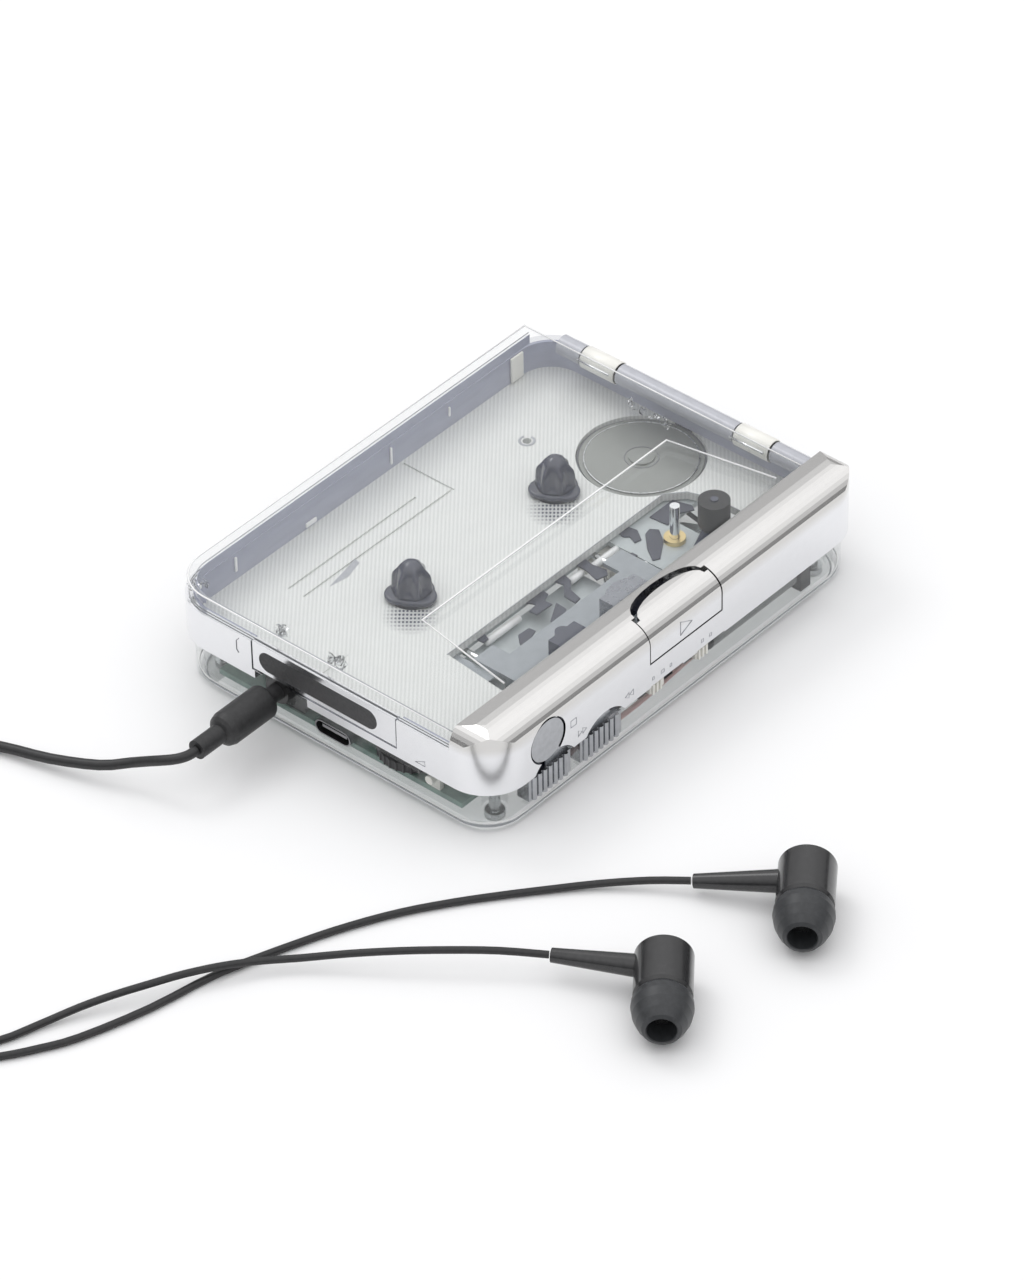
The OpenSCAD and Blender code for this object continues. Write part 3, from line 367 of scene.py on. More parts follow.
# places in millimetres: the spindles, the middle of the painted reflection beside each, the motor, the
# planes that the marks lie in, the top of the lid's raised part, and the back wall of the well
SPINDLE_LEFT = (-20.25, 10)
SPINDLE_RIGHT = (22.25, 10)
SPINDLE_REFLECTION_SPOTS = ((-25.0, 6.0), (17.5, 6.0))
MOTOR_X, MOTOR_Y = 41.4, 4
FRONT_MARK_Y = -41.52
SIDE_MARK_X = -56.02
LID_EDGE_Z = 24.55
WELL_BACK_Y0, WELL_BACK_Y1 = 38.95, 39.35
M = {"bottom_case": thin_clear("clear_case", (0.95, 0.957, 0.956), 0.03, 1.38, 0.02, (0.84, 0.86, 0.865)),
     # the rail is darker low down and full bright at its top: painted shade standing in for how light falls
     # on it
     "hinge_rail": by_height(surface("clear_rail", (0.47, 0.48, 0.52), 0.2, 0, 0.05, 500, 0.03, coat=0.4),
                             (0.8, 0.8, 0.84), (1, 1, 1), 18, 22),
     "lid": thin_clear("clear_lid", (0.982, 0.985, 0.984), 0.02, 1.32, 0.012),
     "well_frame": by_height(surface("smoky_liner", (0.47, 0.485, 0.575), 0.2, 0, 0.05, 160, 0.03,
                                     coat=0.3, stretch=(1, 1, 4)), (1.0, 1.0, 1.0), (0.78, 0.79, 0.84),
                             13, 19),
     # the silver darkens and warms from the band up on to the roof: the warm tone is the roof's own, the
     # darkening is painted shade for the duller reflections the roof shows
     "silver": by_height(surface("silver_plating", (0.90, 0.90, 0.90), 0.17, 1.0, 0.012, 900, 0.0,
                                 rough_vary=0.03), (0.915, 0.92, 0.94), (0.755, 0.745, 0.73), 19.5, 21.5),
     # the deck carries a painted reflection of each spindle: a fading grid of dark dots beside it
     "deck": painted_spindle_reflection(ribbed("ribbed_deck", (0.79, 0.80, 0.785), 0.22, 0.00078, 0.00005, "Y", 0.15,
                                RIB), SPINDLE_REFLECTION_SPOTS, (2.6, 6.0), 0.75, (0.06, 0.065, 0.10), RIB),
     "steel": surface("steel", (0.72, 0.73, 0.74), 0.28, 1.0, 0.04, 700, 0.05),
     "chassis": surface("chassis_steel", (0.50, 0.54, 0.55), 0.34, 0.2, 0.05, 500, 0.02),
     "motor": surface("motor_steel", (0.31, 0.32, 0.305), 0.34, 0.25, 0.03, 900, 0.02),
     "rubber": surface("black_rubber", (0.028, 0.028, 0.03), 0.55, 0, 0.2, 1400, 0.15),
     "grip": surface("grip_rubber", (0.048, 0.048, 0.05), 0.55, 0, 0.3, 2200, 0.6, bump_dist=0.0003),
     "gloss": surface("black_gloss", (0.022, 0.022, 0.023), 0.24, 0, 0.2, 900, 0.04, coat=0.3),
     "plug": surface("plug_rubber", (0.024, 0.024, 0.025), 0.46, 0, 0.25, 1300, 0.12),
     "soft": surface("soft_silicone", (0.032, 0.034, 0.037), 0.42, 0, 0.2, 900, 0.05),
     "cord": surface("cord_jacket", (0.02, 0.02, 0.021), 0.4, 0, 0.2, 1500, 0.08),
     "navy": surface("navy_plastic", (0.055, 0.06, 0.09), 0.24, 0, 0.15, 500, 0.01, coat=0.4),
     "spindle": surface("spindle_plastic", (0.04, 0.044, 0.072), 0.16, 0, 0.12, 400, 0.0, coat=0.8),
     "lever": surface("slate_lever", (0.075, 0.08, 0.105), 0.35, 0.1, 0.1, 500, 0.01),
     "bridge": surface("bridge_steel", (0.36, 0.385, 0.41), 0.34, 0.4, 0.06, 500, 0.015),
     "head": surface("head_steel", (0.30, 0.31, 0.34), 0.28, 0.8, 0.05, 500, 0.01),
     "chrome": surface("chrome", (0.88, 0.89, 0.90), 0.07, 1.0, 0.02, 900, 0.01, rough_vary=0.02),
     "key": surface("dark_chrome", (0.44, 0.45, 0.47), 0.12, 1.0, 0.08, 800, 0.02),
     "white": surface("ivory_plastic", (0.80, 0.79, 0.74), 0.35, 0, 0.03, 700, 0.05),
     "cream": surface("cream_plastic", (0.88, 0.87, 0.82), 0.3, 0, 0.02, 500, 0.03, coat=0.3),
     "line": surface("white_edge", (0.95, 0.95, 0.95), 0.3, 0, 0.01, 500, 0.02),
     "hair": surface("dark_edge", (0.20, 0.205, 0.22), 0.35, 0, 0.08, 500, 0.02),
     "mark": surface("grey_mark", (0.42, 0.43, 0.46), 0.45, 0, 0.05, 500, 0.02),
     "crystal": clear("crystal_bits", (0.98, 0.985, 0.99), 0.0, 1.55, bump=0.0),
     "black": surface("black_plastic", (0.03, 0.03, 0.032), 0.4, 0, 0.2, 900, 0.1),
     "board": surface("board_green", (0.22, 0.32, 0.28), 0.3, 0, 0.15, 500, 0.03, coat=0.4),
     "port": surface("port_steel", (0.35, 0.35, 0.36), 0.3, 1.0, 0.05, 900, 0.05),
     "battery": surface("battery_wrap", (0.12, 0.125, 0.13), 0.3, 0, 0.05, 500, 0.03, coat=0.4),
     "red": surface("red_wire", (0.60, 0.38, 0.36), 0.4, 0, 0.1, 900, 0.04),
     "brass": surface("brass", (0.78, 0.62, 0.32), 0.3, 1.0, 0.06, 700, 0.05),
     "flywheel": surface("flywheel", (0.66, 0.67, 0.68), 0.3, 1.0, 0.05, 500, 0.05, stretch=(1, 1, 0.1))}
assign = {"bottom_case": "bottom_case", "mid_frame": "silver", "well_frame": "well_frame",
          "deck_plate": "deck", "chassis_plate": "chassis", "hinge_rail": "hinge_rail",
          "hinge_pins": "steel", "lid": "lid", "lid_tab": "silver", "grip_strip": "grip",
          "play_button": "silver", "play_lever": "navy", "stop_button": "key", "rewind_button": "key",
          "forward_button": "key", "button_guides": "navy", "mode_switch": "white",
          "tape_switch": "white", "switch_bodies": "black", "volume_wheel": "black",
          "volume_pot": "black", "main_board": "board", "board_chips": "black", "headphone_jack": "gloss",
          "usb_port": "port", "status_led": "white", "battery": "battery", "battery_strap": "black",
          "red_wire": "red", "black_wire": "cord", "motor": "motor", "motor_shaft": "steel",
          "motor_pulley": "brass", "drive_belt": "rubber", "flywheel": "flywheel", "capstan": "chrome",
          "flywheel_pinion": "white", "capstan_bearing": "brass", "idler_gear": "white",
          "idler_post": "steel", "take_up_gear": "navy", "take_up_spindle": "navy", "supply_disc": "navy",
          "supply_spindle": "navy", "guide_rod": "chrome", "head_bridge": "bridge", "play_head": "head",
          "erase_head": "navy", "pinch_arm": "navy", "pinch_roller": "rubber", "case_screws": "steel",
          "ear_plug": "plug", "cord_main": "cord", "cord_coil": "cord", "cord_splitter": "gloss",
          "lead_left": "cord", "lead_right": "cord", "earpiece_left": "gloss", "earpiece_right": "gloss",
          "ear_tips": "soft"}
for n, ob in nodes.items():
    for s in ob.material_slots:
        s.material = M[assign[n]]

# ---------------------------------------------------------------- cords
# diameters and the middle of the coil in metres; routes and heights in millimetres
CORD_D = 0.0021
LEAD_D = 0.0015
COIL = Vector(mm(-150, 36, 0))
# heights of the middle of each layer of turns
CORD_LAY_1, CORD_LAY_2, LEAD_LAY = 1.15, 3.25, 5.06
main_route = [(-78.05, 13.3, 9.7), (-80, 13.6, 9.55), (-81.8, 15, 9.1), (-83.1, 17.4, 8.3),
              (-83.9, 20.2, 7.1), (-85, 24, 5.4), (-88, 29.4, 3.8), (-91.4, 39.2, 2.3),
              (-94.3, 49.8, 1.5), (-98.6, 58.6, 1.2), (-105, 65.2, 1.2), (-113, 69, 1.2), (-122, 69, 1.2),
              (-131, 66, 1.2), (-139, 61, 1.2), (-145.2, 56.0, 1.2)]
left_route = [(-163.3, 20, 3.6), (-163.3, 15, 1.8), (-163.2, 9.5, 0.9), (-162.9, 3, 0.8), (-162, -2, 0.8),
              (-159.8, -6.4, 0.8), (-155.8, -10.2, 0.8), (-150, -14, 0.8), (-143, -17.7, 0.8),
              (-129, -22.2, 0.8), (-114, -25.4, 0.8), (-98.4, -31.1, 0.8), (-89, -35.2, 0.8),
              (-80.4, -39.8, 0.8), (-72.4, -45.2, 0.8), (-65, -50.9, 0.8), (-57.8, -57, 0.9),
              (-51, -63.4, 1.3), (-45.2, -70.4, 2.1), (-40.9, -76.9, 2.8)]
right_route = [(-161.7, 20, 3.6), (-161.6, 15, 1.8), (-161.3, 9.5, 0.9), (-160.4, 3, 0.8),
               (-158.3, -2, 0.8), (-153.2, -6.9, 0.8), (-145.2, -9.9, 1), (-138, -12.9, 1.8),
               (-132, -16, 2.5), (-126, -19.3, 2.9), (-120, -22.4, 3), (-114, -26.2, 3),
               (-108.6, -30, 2.6), (-103, -35.4, 2.6), (-97, -42.4, 3.6), (-91.2, -49.6, 4.4),
               (-85.6, -56.8, 4.9), (-80, -64, 5), (-74.8, -71.4, 4.7)]


def curve(name, pts, d, material, body):
    cu = bpy.data.curves.new(name, "CURVE")
    cu.dimensions = "3D"
    cu.bevel_depth = d / 2
    cu.bevel_resolution = 4
    cu.use_fill_caps = True
    sp = cu.splines.new("POLY")
    sp.points.add(len(pts) - 1)
    for p, q in zip(sp.points, pts):
        p.co = (*q, 1)
    sp.use_smooth = True
    cu.materials.append(material)
    ob = bpy.data.objects.new(name, cu)
    scene.collection.objects.link(ob)
    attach(ob, body)
    return ob


def wind(a0, a1, radii, levels, step=9.0):
    """Points of a winding from angle a0 to a1, in degrees: a radius and a level per turn, eased between."""
    out = []
    n = int(abs(a1 - a0) / step)
    for i in range(n + 1):
        t = abs(a1 - a0) * i / n / 360
        k = min(int(t), len(radii) - 1)
        f = t - k
        r, z = radii[k], levels[k]
        if k + 1 < len(radii):
            e = min(1.0, max(0.0, (f - 0.72) / 0.28))
            e = e * e * (3 - 2 * e)
            r += (radii[k + 1] - r) * e
            z += (levels[k + 1] - z) * e
        a = math.radians(a0 + (a1 - a0) * i / n)
        out.append(COIL + Vector((r * MM * math.cos(a), r * MM * math.sin(a), z * MM)))
    return out


def route(*parts, steps=3):
    """One smooth line through listed points (mm) and windings."""
    pts = []
    for p in parts:
        pts += [Vector(mm(*q)) if isinstance(q, tuple) else q for q in p]
    return smooth_points(pts, steps)


# the main cord winds anticlockwise from the top of the ring, outer turn to inner,
# and back out on the layer above
m_pts = route(main_route, wind(104, 104 + 6.0 * 360 + 112, [14.7, 12.6, 10.5, 10.5, 12.6, 14.7, 14.7],
                               [CORD_LAY_1] * 3 + [CORD_LAY_2] * 4)[1:],
              [(-163.6, 22.6, 2.9), (-161.4, 19.3, 2.3), (-158.4, 17.7, 1.95), (-156.2, 17.6, 1.9)])
cord = curve("earphone_cord", m_pts, CORD_D, M["cord"], "case")
# the two leads leave the splitter side by side, climb on to the ring, go round it twice
# and come away to the left
l_pts = route([(-146.1, 16.45, 1.35), (-143.6, 16.5, 1.5), (-139.9, 17.6, 2.6), (-137.0, 20.3, 4.1)],
              wind(-44, 150, [14.3, 11.4], [LEAD_LAY] * 2)[1:],
              wind(150, 498, [14.3, 11.4], [LEAD_LAY] * 2)[1:-3],
              [(-160.8, 38.6, 5.3), (-162.2, 33.0, 6.4), (-163.0, 28.0, 6.5), (-163.3, 23.8, 5.2)],
              left_route)
r_pts = route([(-146.1, 18.15, 1.35), (-143.8, 18.3, 1.7), (-141.2, 19.6, 2.9), (-139.0, 22.0, 4.4)],
              wind(-44, 150, [12.8, 9.9], [LEAD_LAY] * 2)[1:],
              wind(150, 490, [12.8, 9.9], [LEAD_LAY] * 2)[1:-3],
              [(-159.1, 38.4, 5.3), (-160.6, 33.0, 6.4), (-161.4, 28.0, 6.5), (-161.7, 23.8, 5.2)],
              right_route)
lead_l = curve("earphone_lead_left", l_pts, LEAD_D, M["cord"], "case")
lead_r = curve("earphone_lead_right", r_pts, LEAD_D, M["cord"], "case")
for o, node in ((lead_l, "lead_left"), (lead_r, "lead_right")):
    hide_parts(node)
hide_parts("cord_main", "cord_coil")
# a narrow rubber band holds the ring together
ta = math.radians(52)
th = Vector((math.cos(ta), math.sin(ta), 0))
sec = [(8.75, 0.2), (9.0, 0.02), (16.2, 0.02), (16.45, 0.3), (16.35, 4.6), (15.6, 6.3), (9.3, 6.3),
       (8.75, 5.6)]
verts, faces = [], []
for w in (-1.5, -1.2, 1.2, 1.5):
    d = Vector((-th.y, th.x, 0)) * w * MM
    for r, z in sec:
        verts.append(COIL + th * r * MM + Vector((0, 0, z * MM)) + d)
    for r, z in sec:
        rr = r + (0.14 if r < 12.6 else -0.14)
        zz = z + (0.14 if z < 3 else -0.14)
        verts.append(COIL + th * rr * MM + Vector((0, 0, zz * MM)) + d)
ns = len(sec)
for a in range(3):
    for k in range(ns):
        q = (k + 1) % ns
        b, c = a * 2 * ns, (a + 1) * 2 * ns
        faces.append((b + k, b + q, c + q, c + k))
        faces.append((b + ns + q, b + ns + k, c + ns + k, c + ns + q))
for k in range(ns):
    q = (k + 1) % ns
    faces.append((q, k, ns + k, ns + q))
    c = 3 * 2 * ns
    faces.append((c + k, c + q, c + ns + q, c + ns + k))
tie = collect(mesh_from(verts, faces, "cord_tie"), "cord_tie", M["soft"], "case",
              smooth=False)

# ---------------------------------------------------------------- small pieces
def prism(name, pts, z0, z1, material, body, bevel=0.1):
    """A flat moulded or stamped piece: an outline in plan, raised from z0 to z1, its edges broken."""
    bm = bmesh.new()
    low = [bm.verts.new(mm(x, y, z0)) for x, y in pts]
    f = bm.faces.new(low)
    ext = bmesh.ops.extrude_face_region(bm, geom=[f])
    up_v = [v for v in ext["geom"] if isinstance(v, bmesh.types.BMVert)]
    bmesh.ops.translate(bm, verts=up_v, vec=(0, 0, (z1 - z0) * MM))
    bmesh.ops.recalc_face_normals(bm, faces=bm.faces)
    if bevel:
        bmesh.ops.bevel(bm, geom=list(bm.edges), offset=bevel * MM, segments=2, affect="EDGES",
                        clamp_overlap=True)
    me = bpy.data.meshes.new(name)
    bm.to_mesh(me)
    bm.free()
    return collect(me, name, material, body, smooth=False)


def tube(name, pts, r, material, body, sides=8, closed=False, taper=None):
    """A round bead along a line of points, given in mm."""
    p = [Vector(mm(*q)) for q in pts]
    n = len(p)
    verts, faces = [], []
    prev = None
    for i in range(n):
        a = p[(i - 1) % n] if closed or i > 0 else p[i]
        b = p[(i + 1) % n] if closed or i < n - 1 else p[i]
        t = (b - a).normalized()
        if prev is None:
            ref = Vector((0, 0, 1)) if abs(t.z) < 0.9 else Vector((1, 0, 0))
            u = t.cross(ref).normalized()
        else:
            u = (prev - t * prev.dot(t)).normalized()
        prev = u
        w = t.cross(u)
        rr = r * (taper[i] if taper else 1) * MM
        for k in range(sides):
            c = 2 * math.pi * k / sides
            verts.append(p[i] + (u * math.cos(c) + w * math.sin(c)) * rr)
    rings = n if closed else n - 1
    for i in range(rings):
        for k in range(sides):
            a, b = i * sides, ((i + 1) % n) * sides
            faces.append((a + k, a + (k + 1) % sides, b + (k + 1) % sides, b + k))
    if not closed:
        faces.append(tuple(range(sides - 1, -1, -1)))
        faces.append(tuple((n - 1) * sides + k for k in range(sides)))
    me = mesh_from(verts, faces, name)
    return collect(me, name, material, body)


def lathe(name, centre, axis, profile, material, body, steps=40, a0=0, a1=360):
    """Turn a closed profile of (radius, height) points in mm about an axis through centre."""
    ax = Vector(axis).normalized()
    u = ax.orthogonal().normalized()
    w = ax.cross(u)
    c0 = Vector(mm(*centre))
    full = a1 - a0 >= 360
    n = steps if full else steps + 1
    verts, faces = [], []
    for i in range(n):
        a = math.radians(a0 + (a1 - a0) * i / steps)
        d = u * math.cos(a) + w * math.sin(a)
        for r, h in profile:
            verts.append(c0 + d * r * MM + ax * h * MM)
    m = len(profile)
    for i in range(steps):
        for k in range(m):
            a, b = i * m, ((i + 1) % n) * m
            faces.append((a + k, a + (k + 1) % m, b + (k + 1) % m, b + k))
    if not full:
        faces.append(tuple(range(m)))
        faces.append(tuple((n - 1) * m + k for k in range(m - 1, -1, -1)))
    me = mesh_from(verts, faces, name)
    return collect(me, name, material, body)


def ring_profile(r0, r1, h0, h1, e=0.08):
    return [(r0 + e, h0), (r1 - e, h0), (r1, h0 + e), (r1, h1 - e), (r1 - e, h1), (r0 + e, h1),
            (r0, h1 - e), (r0, h0 + e)]


def arc(cx, cy, r, a0, a1, n, z):
    return [(cx + r * math.cos(math.radians(a0 + (a1 - a0) * i / n)),
             cy + r * math.sin(math.radians(a0 + (a1 - a0) * i / n)), z) for i in range(n + 1)]


# lid: a painted highlight along the edge of its raised part, painted highlights and fine lines along its
# own rim, and the smoky strip inside its long side
tube("lid_raised_edge_highlight", [(-39.3, -30.2, LID_EDGE_Z), (-35.1, -6.1, LID_EDGE_Z), (37.0, -6.1, LID_EDGE_Z),
                         (41.3, -30.2, LID_EDGE_Z)], 0.2, M["line"], "lid_body")
rim = [(-55.1, -30.2)] + [(p[0], p[1]) for p in arc(-46.2, 32.0, 8.95, 180, 90, 10, 0)] + [(49.0, 40.95)]
tube("lid_rim_highlight", [(x, y, 23.1) for x, y in rim], 0.17, M["line"], "lid_body")
tube("lid_skirt_line", [(x, y, 19.75) for x, y in rim], 0.1, M["hair"], "lid_body")
tube("lid_inner_line", [(x, y, 22.1) for x, y in [(-53.9, -30.2)]
                        + [(p[0], p[1]) for p in arc(-46.2, 32.0, 7.7, 180, 90, 10, 0)] + [(48.8, 39.7)]],
     0.1, M["mark"], "lid_body")
tube("lid_end_highlight", [(49.0, -30.3, 23.1), (49.0, 40.9, 23.1)], 0.15, M["line"], "lid_body")
inner = [(p[0], p[1]) for p in arc(-46.2, 32.0, 7.3, 172, 90, 10, 0)] + [(48.6, 39.3)]


def wall(name, line, z0, z1, t, material, body):
    """A thin upright strip along a line in plan."""
    verts, faces = [], []
    n = len(line)
    for i, (x, y) in enumerate(line):
        a, b = line[max(i - 1, 0)], line[min(i + 1, n - 1)]
        d = Vector((b[0] - a[0], b[1] - a[1])).normalized()
        nx, ny = -d.y * t / 2, d.x * t / 2
        verts += [mm(x + nx, y + ny, z0), mm(x + nx, y + ny, z1), mm(x - nx, y - ny, z1),
                  mm(x - nx, y - ny, z0)]
    for i in range(n - 1):
        for k in range(4):
            faces.append((i * 4 + k, i * 4 + (k + 1) % 4, i * 4 + 4 + (k + 1) % 4, i * 4 + 4 + k))
    faces += [(0, 1, 2, 3), ((n - 1) * 4 + 3, (n - 1) * 4 + 2, (n - 1) * 4 + 1, (n - 1) * 4)]
    me = mesh_from([Vector(v) for v in verts], faces, name)
    return collect(me, name, material, body, smooth=False)


wall("lid_smoky_strip", inner, 19.75, 22.75 - 0.85, 0.12, M["well_frame"], "lid_body")

# bright clips and ribs along the long wall of the well
for k, (x, z0, z1, w) in enumerate(((-38.5, 15.2, 18.6, 0.28), (-17.0, 13.6, 14.6, 1.5),
                                    (6.6, 14.4, 18.4, 0.25), (-49.0, 17.2, 18.6, 0.7),
                                    (24.0, 16.0, 18.2, 0.22))):
    prism("well_rib_%d" % k, [(x - w, WELL_BACK_Y0), (x + w, WELL_BACK_Y0), (x + w, WELL_BACK_Y1),
                              (x - w, WELL_BACK_Y1)], z0, z1, M["line"], "case", 0.06)
# painted highlight: a bright patch on the back wall where the far inner corner of the well catches the
# light
prism("well_corner_highlight", [(42.6, 38.8), (46.2, 38.8), (46.2, 39.3), (42.6, 39.3)], 13.3, 19.2,
      M["cream"], "case", 0.08)

# hinge: translucent sleeves over the lid's knuckles, each with a bright stop bar under it
for k, (y0, y1) in enumerate(((-21.1, -12.4), (18.4, 27.1))):
    lathe("hinge_sleeve_%d" % k, (51.9, y0, 20.3), (0, 1, 0), ring_profile(2.12, 2.42, 0, y1 - y0, 0.1),
          M["cream"], "lid_body", 32)
    tube("hinge_bar_%d" % k, [(48.6, y0 + 0.2, 21.7), (48.6, y1 - 0.2, 21.7)], 0.28, M["chrome"],
         "lid_body")

# crystal-like stubs where clear mouldings meet, at the corners and the bosses
rnd = random.Random(7)


def shards(name, centre, spread, count, size, body):
    verts, faces = [], []
    for _ in range(count):
        c = Vector([centre[i] + rnd.uniform(-spread[i], spread[i]) for i in range(3)])
        s0 = size * rnd.uniform(0.6, 1.2)
        base = len(verts)
        ax = [Vector((rnd.gauss(0, 1), rnd.gauss(0, 1), rnd.gauss(0, 1))).normalized() * s0
              for _ in range(3)]
        for d in ax:
            verts += [(c + d) * MM, (c - d) * MM]
        for a in (0, 1):
            for b in (2, 3):
                for g in (4, 5):
                    faces.append((base + a, base + b, base + g))
    me = mesh_from(verts, faces, name)
    return collect(me, name, M["crystal"], body, smooth=False)


shards("boss_crystal_0", (-51.5, 15, 21.2), (1.0, 1.1, 0.6), 12, 1.05, "lid_body")
shards("boss_crystal_1", (-51.9, 1, 21.2), (1.0, 1.5, 0.6), 12, 1.05, "lid_body")
shards("corner_crystal", (-51.0, 36.6, 21.0), (1.6, 1.2, 0.6), 14, 0.8, "lid_body")
shards("hinge_crystal", (48.2, 8.0, 17.6), (0.5, 5.0, 1.2), 16, 0.8, "case")

# motor face seen through the deck: shadow ring, pressed rings and hub
lathe("motor_shadow_ring", (MOTOR_X, MOTOR_Y, 11.9), (0, 0, 1), ring_profile(12.52, 13.05, 0, 0.3),
      M["hair"], "case", 64)
lathe("motor_face_ring", (MOTOR_X, MOTOR_Y, 12.6), (0, 0, 1), ring_profile(11.35, 11.6, 0, 0.12, 0.04),
      M["steel"], "case", 64)
lathe("motor_hub_ring", (MOTOR_X, MOTOR_Y, 12.6), (0, 0, 1), ring_profile(3.3, 3.5, 0, 0.1, 0.03),
      M["hair"], "case", 40)
lathe("deck_ring_mark", (30.6, 24.6, 12.98), (0, 0, 1), ring_profile(1.25, 1.75, 0, 0.12, 0.04),
      M["mark"], "case", 24, 20, 320)

# mechanism under the window: a pale plate with slate levers and bright rods
prism("mechanism_plate", [(-32.5, -26), (9.5, -26), (9.5, -6.8), (-32.5, -6.8)], 8.3, 8.7, M["chassis"],
      "case", 0.1)
prism("plate_corner", [(-31.5, -17), (-26.6, -17), (-26.6, -7), (-30.4, -7)], 10.9, 11.25, M["bridge"],
      "case", 0.08)
levers = [[(29.2, -8.2), (36.2, -8.2), (37.4, -12.2), (36.6, -13.6), (33.5, -11.8), (29.6, -12.6)],
          [(21.4, -6.9), (24.2, -6.9), (24.6, -9.0), (22.8, -11.6), (21.2, -11.2), (22.0, -9.2),
           (21.2, -8.4)],
          [(26.4, -10.6), (27.4, -12.2), (25.2, -15.2), (20.6, -18.2), (19.2, -17.4), (21.4, -14.2),
           (24.6, -11.0)],
          [(8.6, -6.9), (11.2, -6.9), (10.8, -9.2), (11.4, -12.4), (10.2, -13.6), (7.6, -13.0),
           (8.6, -9.4)],
          [(2.0, -6.9), (5.0, -6.9), (4.4, -9.2), (2.2, -11.0), (1.4, -14.2), (-0.4, -14.4),
           (-0.2, -11.4), (2.4, -9.0)],
          [(-6.4, -6.9), (-1.4, -6.9), (-1.6, -8.6), (-3.6, -9.4), (-3.4, -11.2), (-7.8, -11.0),
           (-8.0, -9.2), (-5.6, -8.8)],
          [(-2.6, -11.4), (-2.8, -14.2), (-6.6, -17.0), (-8.4, -16.6), (-7.6, -14.2)],
          [(-11.8, -12.4), (-11.6, -14.0), (-14.0, -14.8), (-17.0, -15.6), (-16.6, -14.2),
           (-14.8, -12.2)],
          [(11.9, -12.7), (18.6, -12.7), (18.6, -14.2), (11.9, -14.3)],
          [(-20.8, -6.9), (-18.6, -6.9), (-19.2, -8.6), (-20.8, -8.6)]]
for k, pts in enumerate(levers):
    prism("slate_lever_%d" % k, pts, 10.95, 11.28, M["lever"], "case", 0.08)
for k, (x0, x1, y) in enumerate(((10.6, 20.6, -8.9), (-19.6, -9.8, -8.2), (4.9, 8.4, -8.5),
                                 (16.5, 20.4, -16.4))):
    tube("bright_rod_%d" % k, [(x0, y, 10.2), (x1, y, 10.2)], 0.75, M["line"], "case", 12)

# bright outline where the clear tray is cut for the window
tube("window_edge", [(-29.6, -7.1, 13.03), (34.6, -7.1, 13.03), (38.3, -10.3, 13.03),
                     (40.3, -16.6, 13.03), (40.3, -29, 13.03)], 0.1, M["mark"], "case")

# marks on the controls: a play triangle, a stop square and double arrows, all generic symbols
def outline(name, pts, y, r, material, body):
    tube(name, [(x, y, z) for x, z in pts], r, material, body, 6, True)


outline("mark_play", [(-1.2, 17.9), (-1.2, 21.1), (2.2, 19.5)], -41.47, 0.1, M["mark"], "play_body")
outline("mark_stop", [(-33.4, 15.8), (-31.8, 15.8), (-31.8, 17.4), (-33.4, 17.4)], FRONT_MARK_Y, 0.07,
        M["mark"], "case")
for k, (x, d) in enumerate(((-38.2, 1), (-23.4, -1))):
    for q in (0, 1):
        xx = x + 6.9 + q * 1.3
        outline("mark_wind_%d_%d" % (k, q), [(xx, 12.3), (xx, 13.7), (xx + 1.1 * d, 13.0)], FRONT_MARK_Y,
                0.06, M["mark"], "case")
for k, (x, w) in enumerate(((-9.6, 0.5), (-7.0, 0.9), (-4.4, 0.5), (5.0, 0.6), (7.4, 0.6))):
    outline("mark_switch_%d" % k, [(x, 12.2), (x + w, 12.2), (x + w, 12.9), (x, 12.9)], FRONT_MARK_Y,
            0.06, M["mark"], "case")
tube("mark_volume", [(SIDE_MARK_X, -22.4, 12.0), (SIDE_MARK_X, -24.8, 12.0), (SIDE_MARK_X, -24.8, 13.2)],
     0.07, M["mark"], "case", 6, True)
tube("mark_hook", [(-56.03, 22.2, 18.4), (-56.03, 22.9, 17.6), (-56.03, 22.9, 15.4),
                   (-56.03, 22.4, 14.8)], 0.09, M["hair"], "case", 6)

# deck: the thin joints of the tray, laid on it as straight hairlines
prism("tray_gap", [(-28.6, 24.0), (-24.2, 24.8), (-19.0, 25.9), (-19.4, 24.4), (-24.0, 23.2)], 12.99,
      13.05, M["mark"], "case", 0.0)

# base: a painted highlight and a painted dark edge line round its rim, and a painted dark line round its
# foot

def outline_plan(hx, hy, r, n=9):
    """Rounded-rectangle outline in plan, starting on the +X side."""
    pts = []
    for cx, cy, a in ((hx - r, hy - r, 0), (r - hx, hy - r, 90), (r - hx, r - hy, 180),
                      (hx - r, r - hy, 270)):
        for k in range(n + 1):
            t = math.radians(a + 90 * k / n)
            pts.append((cx + r * math.cos(t), cy + r * math.sin(t)))
    return pts


base_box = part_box("bottom_case")
bx, by = (base_box[1][0] - base_box[0][0]) / 2 * 1000, (base_box[1][1] - base_box[0][1]) / 2 * 1000
tube("base_rim_highlight", [(x, y, 2.3) for x, y in outline_plan(bx - 0.15, by - 0.15, 9.3)], 0.16, M["line"],
     "case", 6, True)
tube("base_rim_dark", [(x, y, 1.75) for x, y in outline_plan(bx - 0.12, by - 0.12, 9.3)], 0.1, M["mark"],
     "case", 6, True)
tube("base_foot_line", [(x, y, 0.28) for x, y in outline_plan(bx - 1.4, by - 1.4, 8.1)], 0.18, M["mark"],
     "case", 6, True)

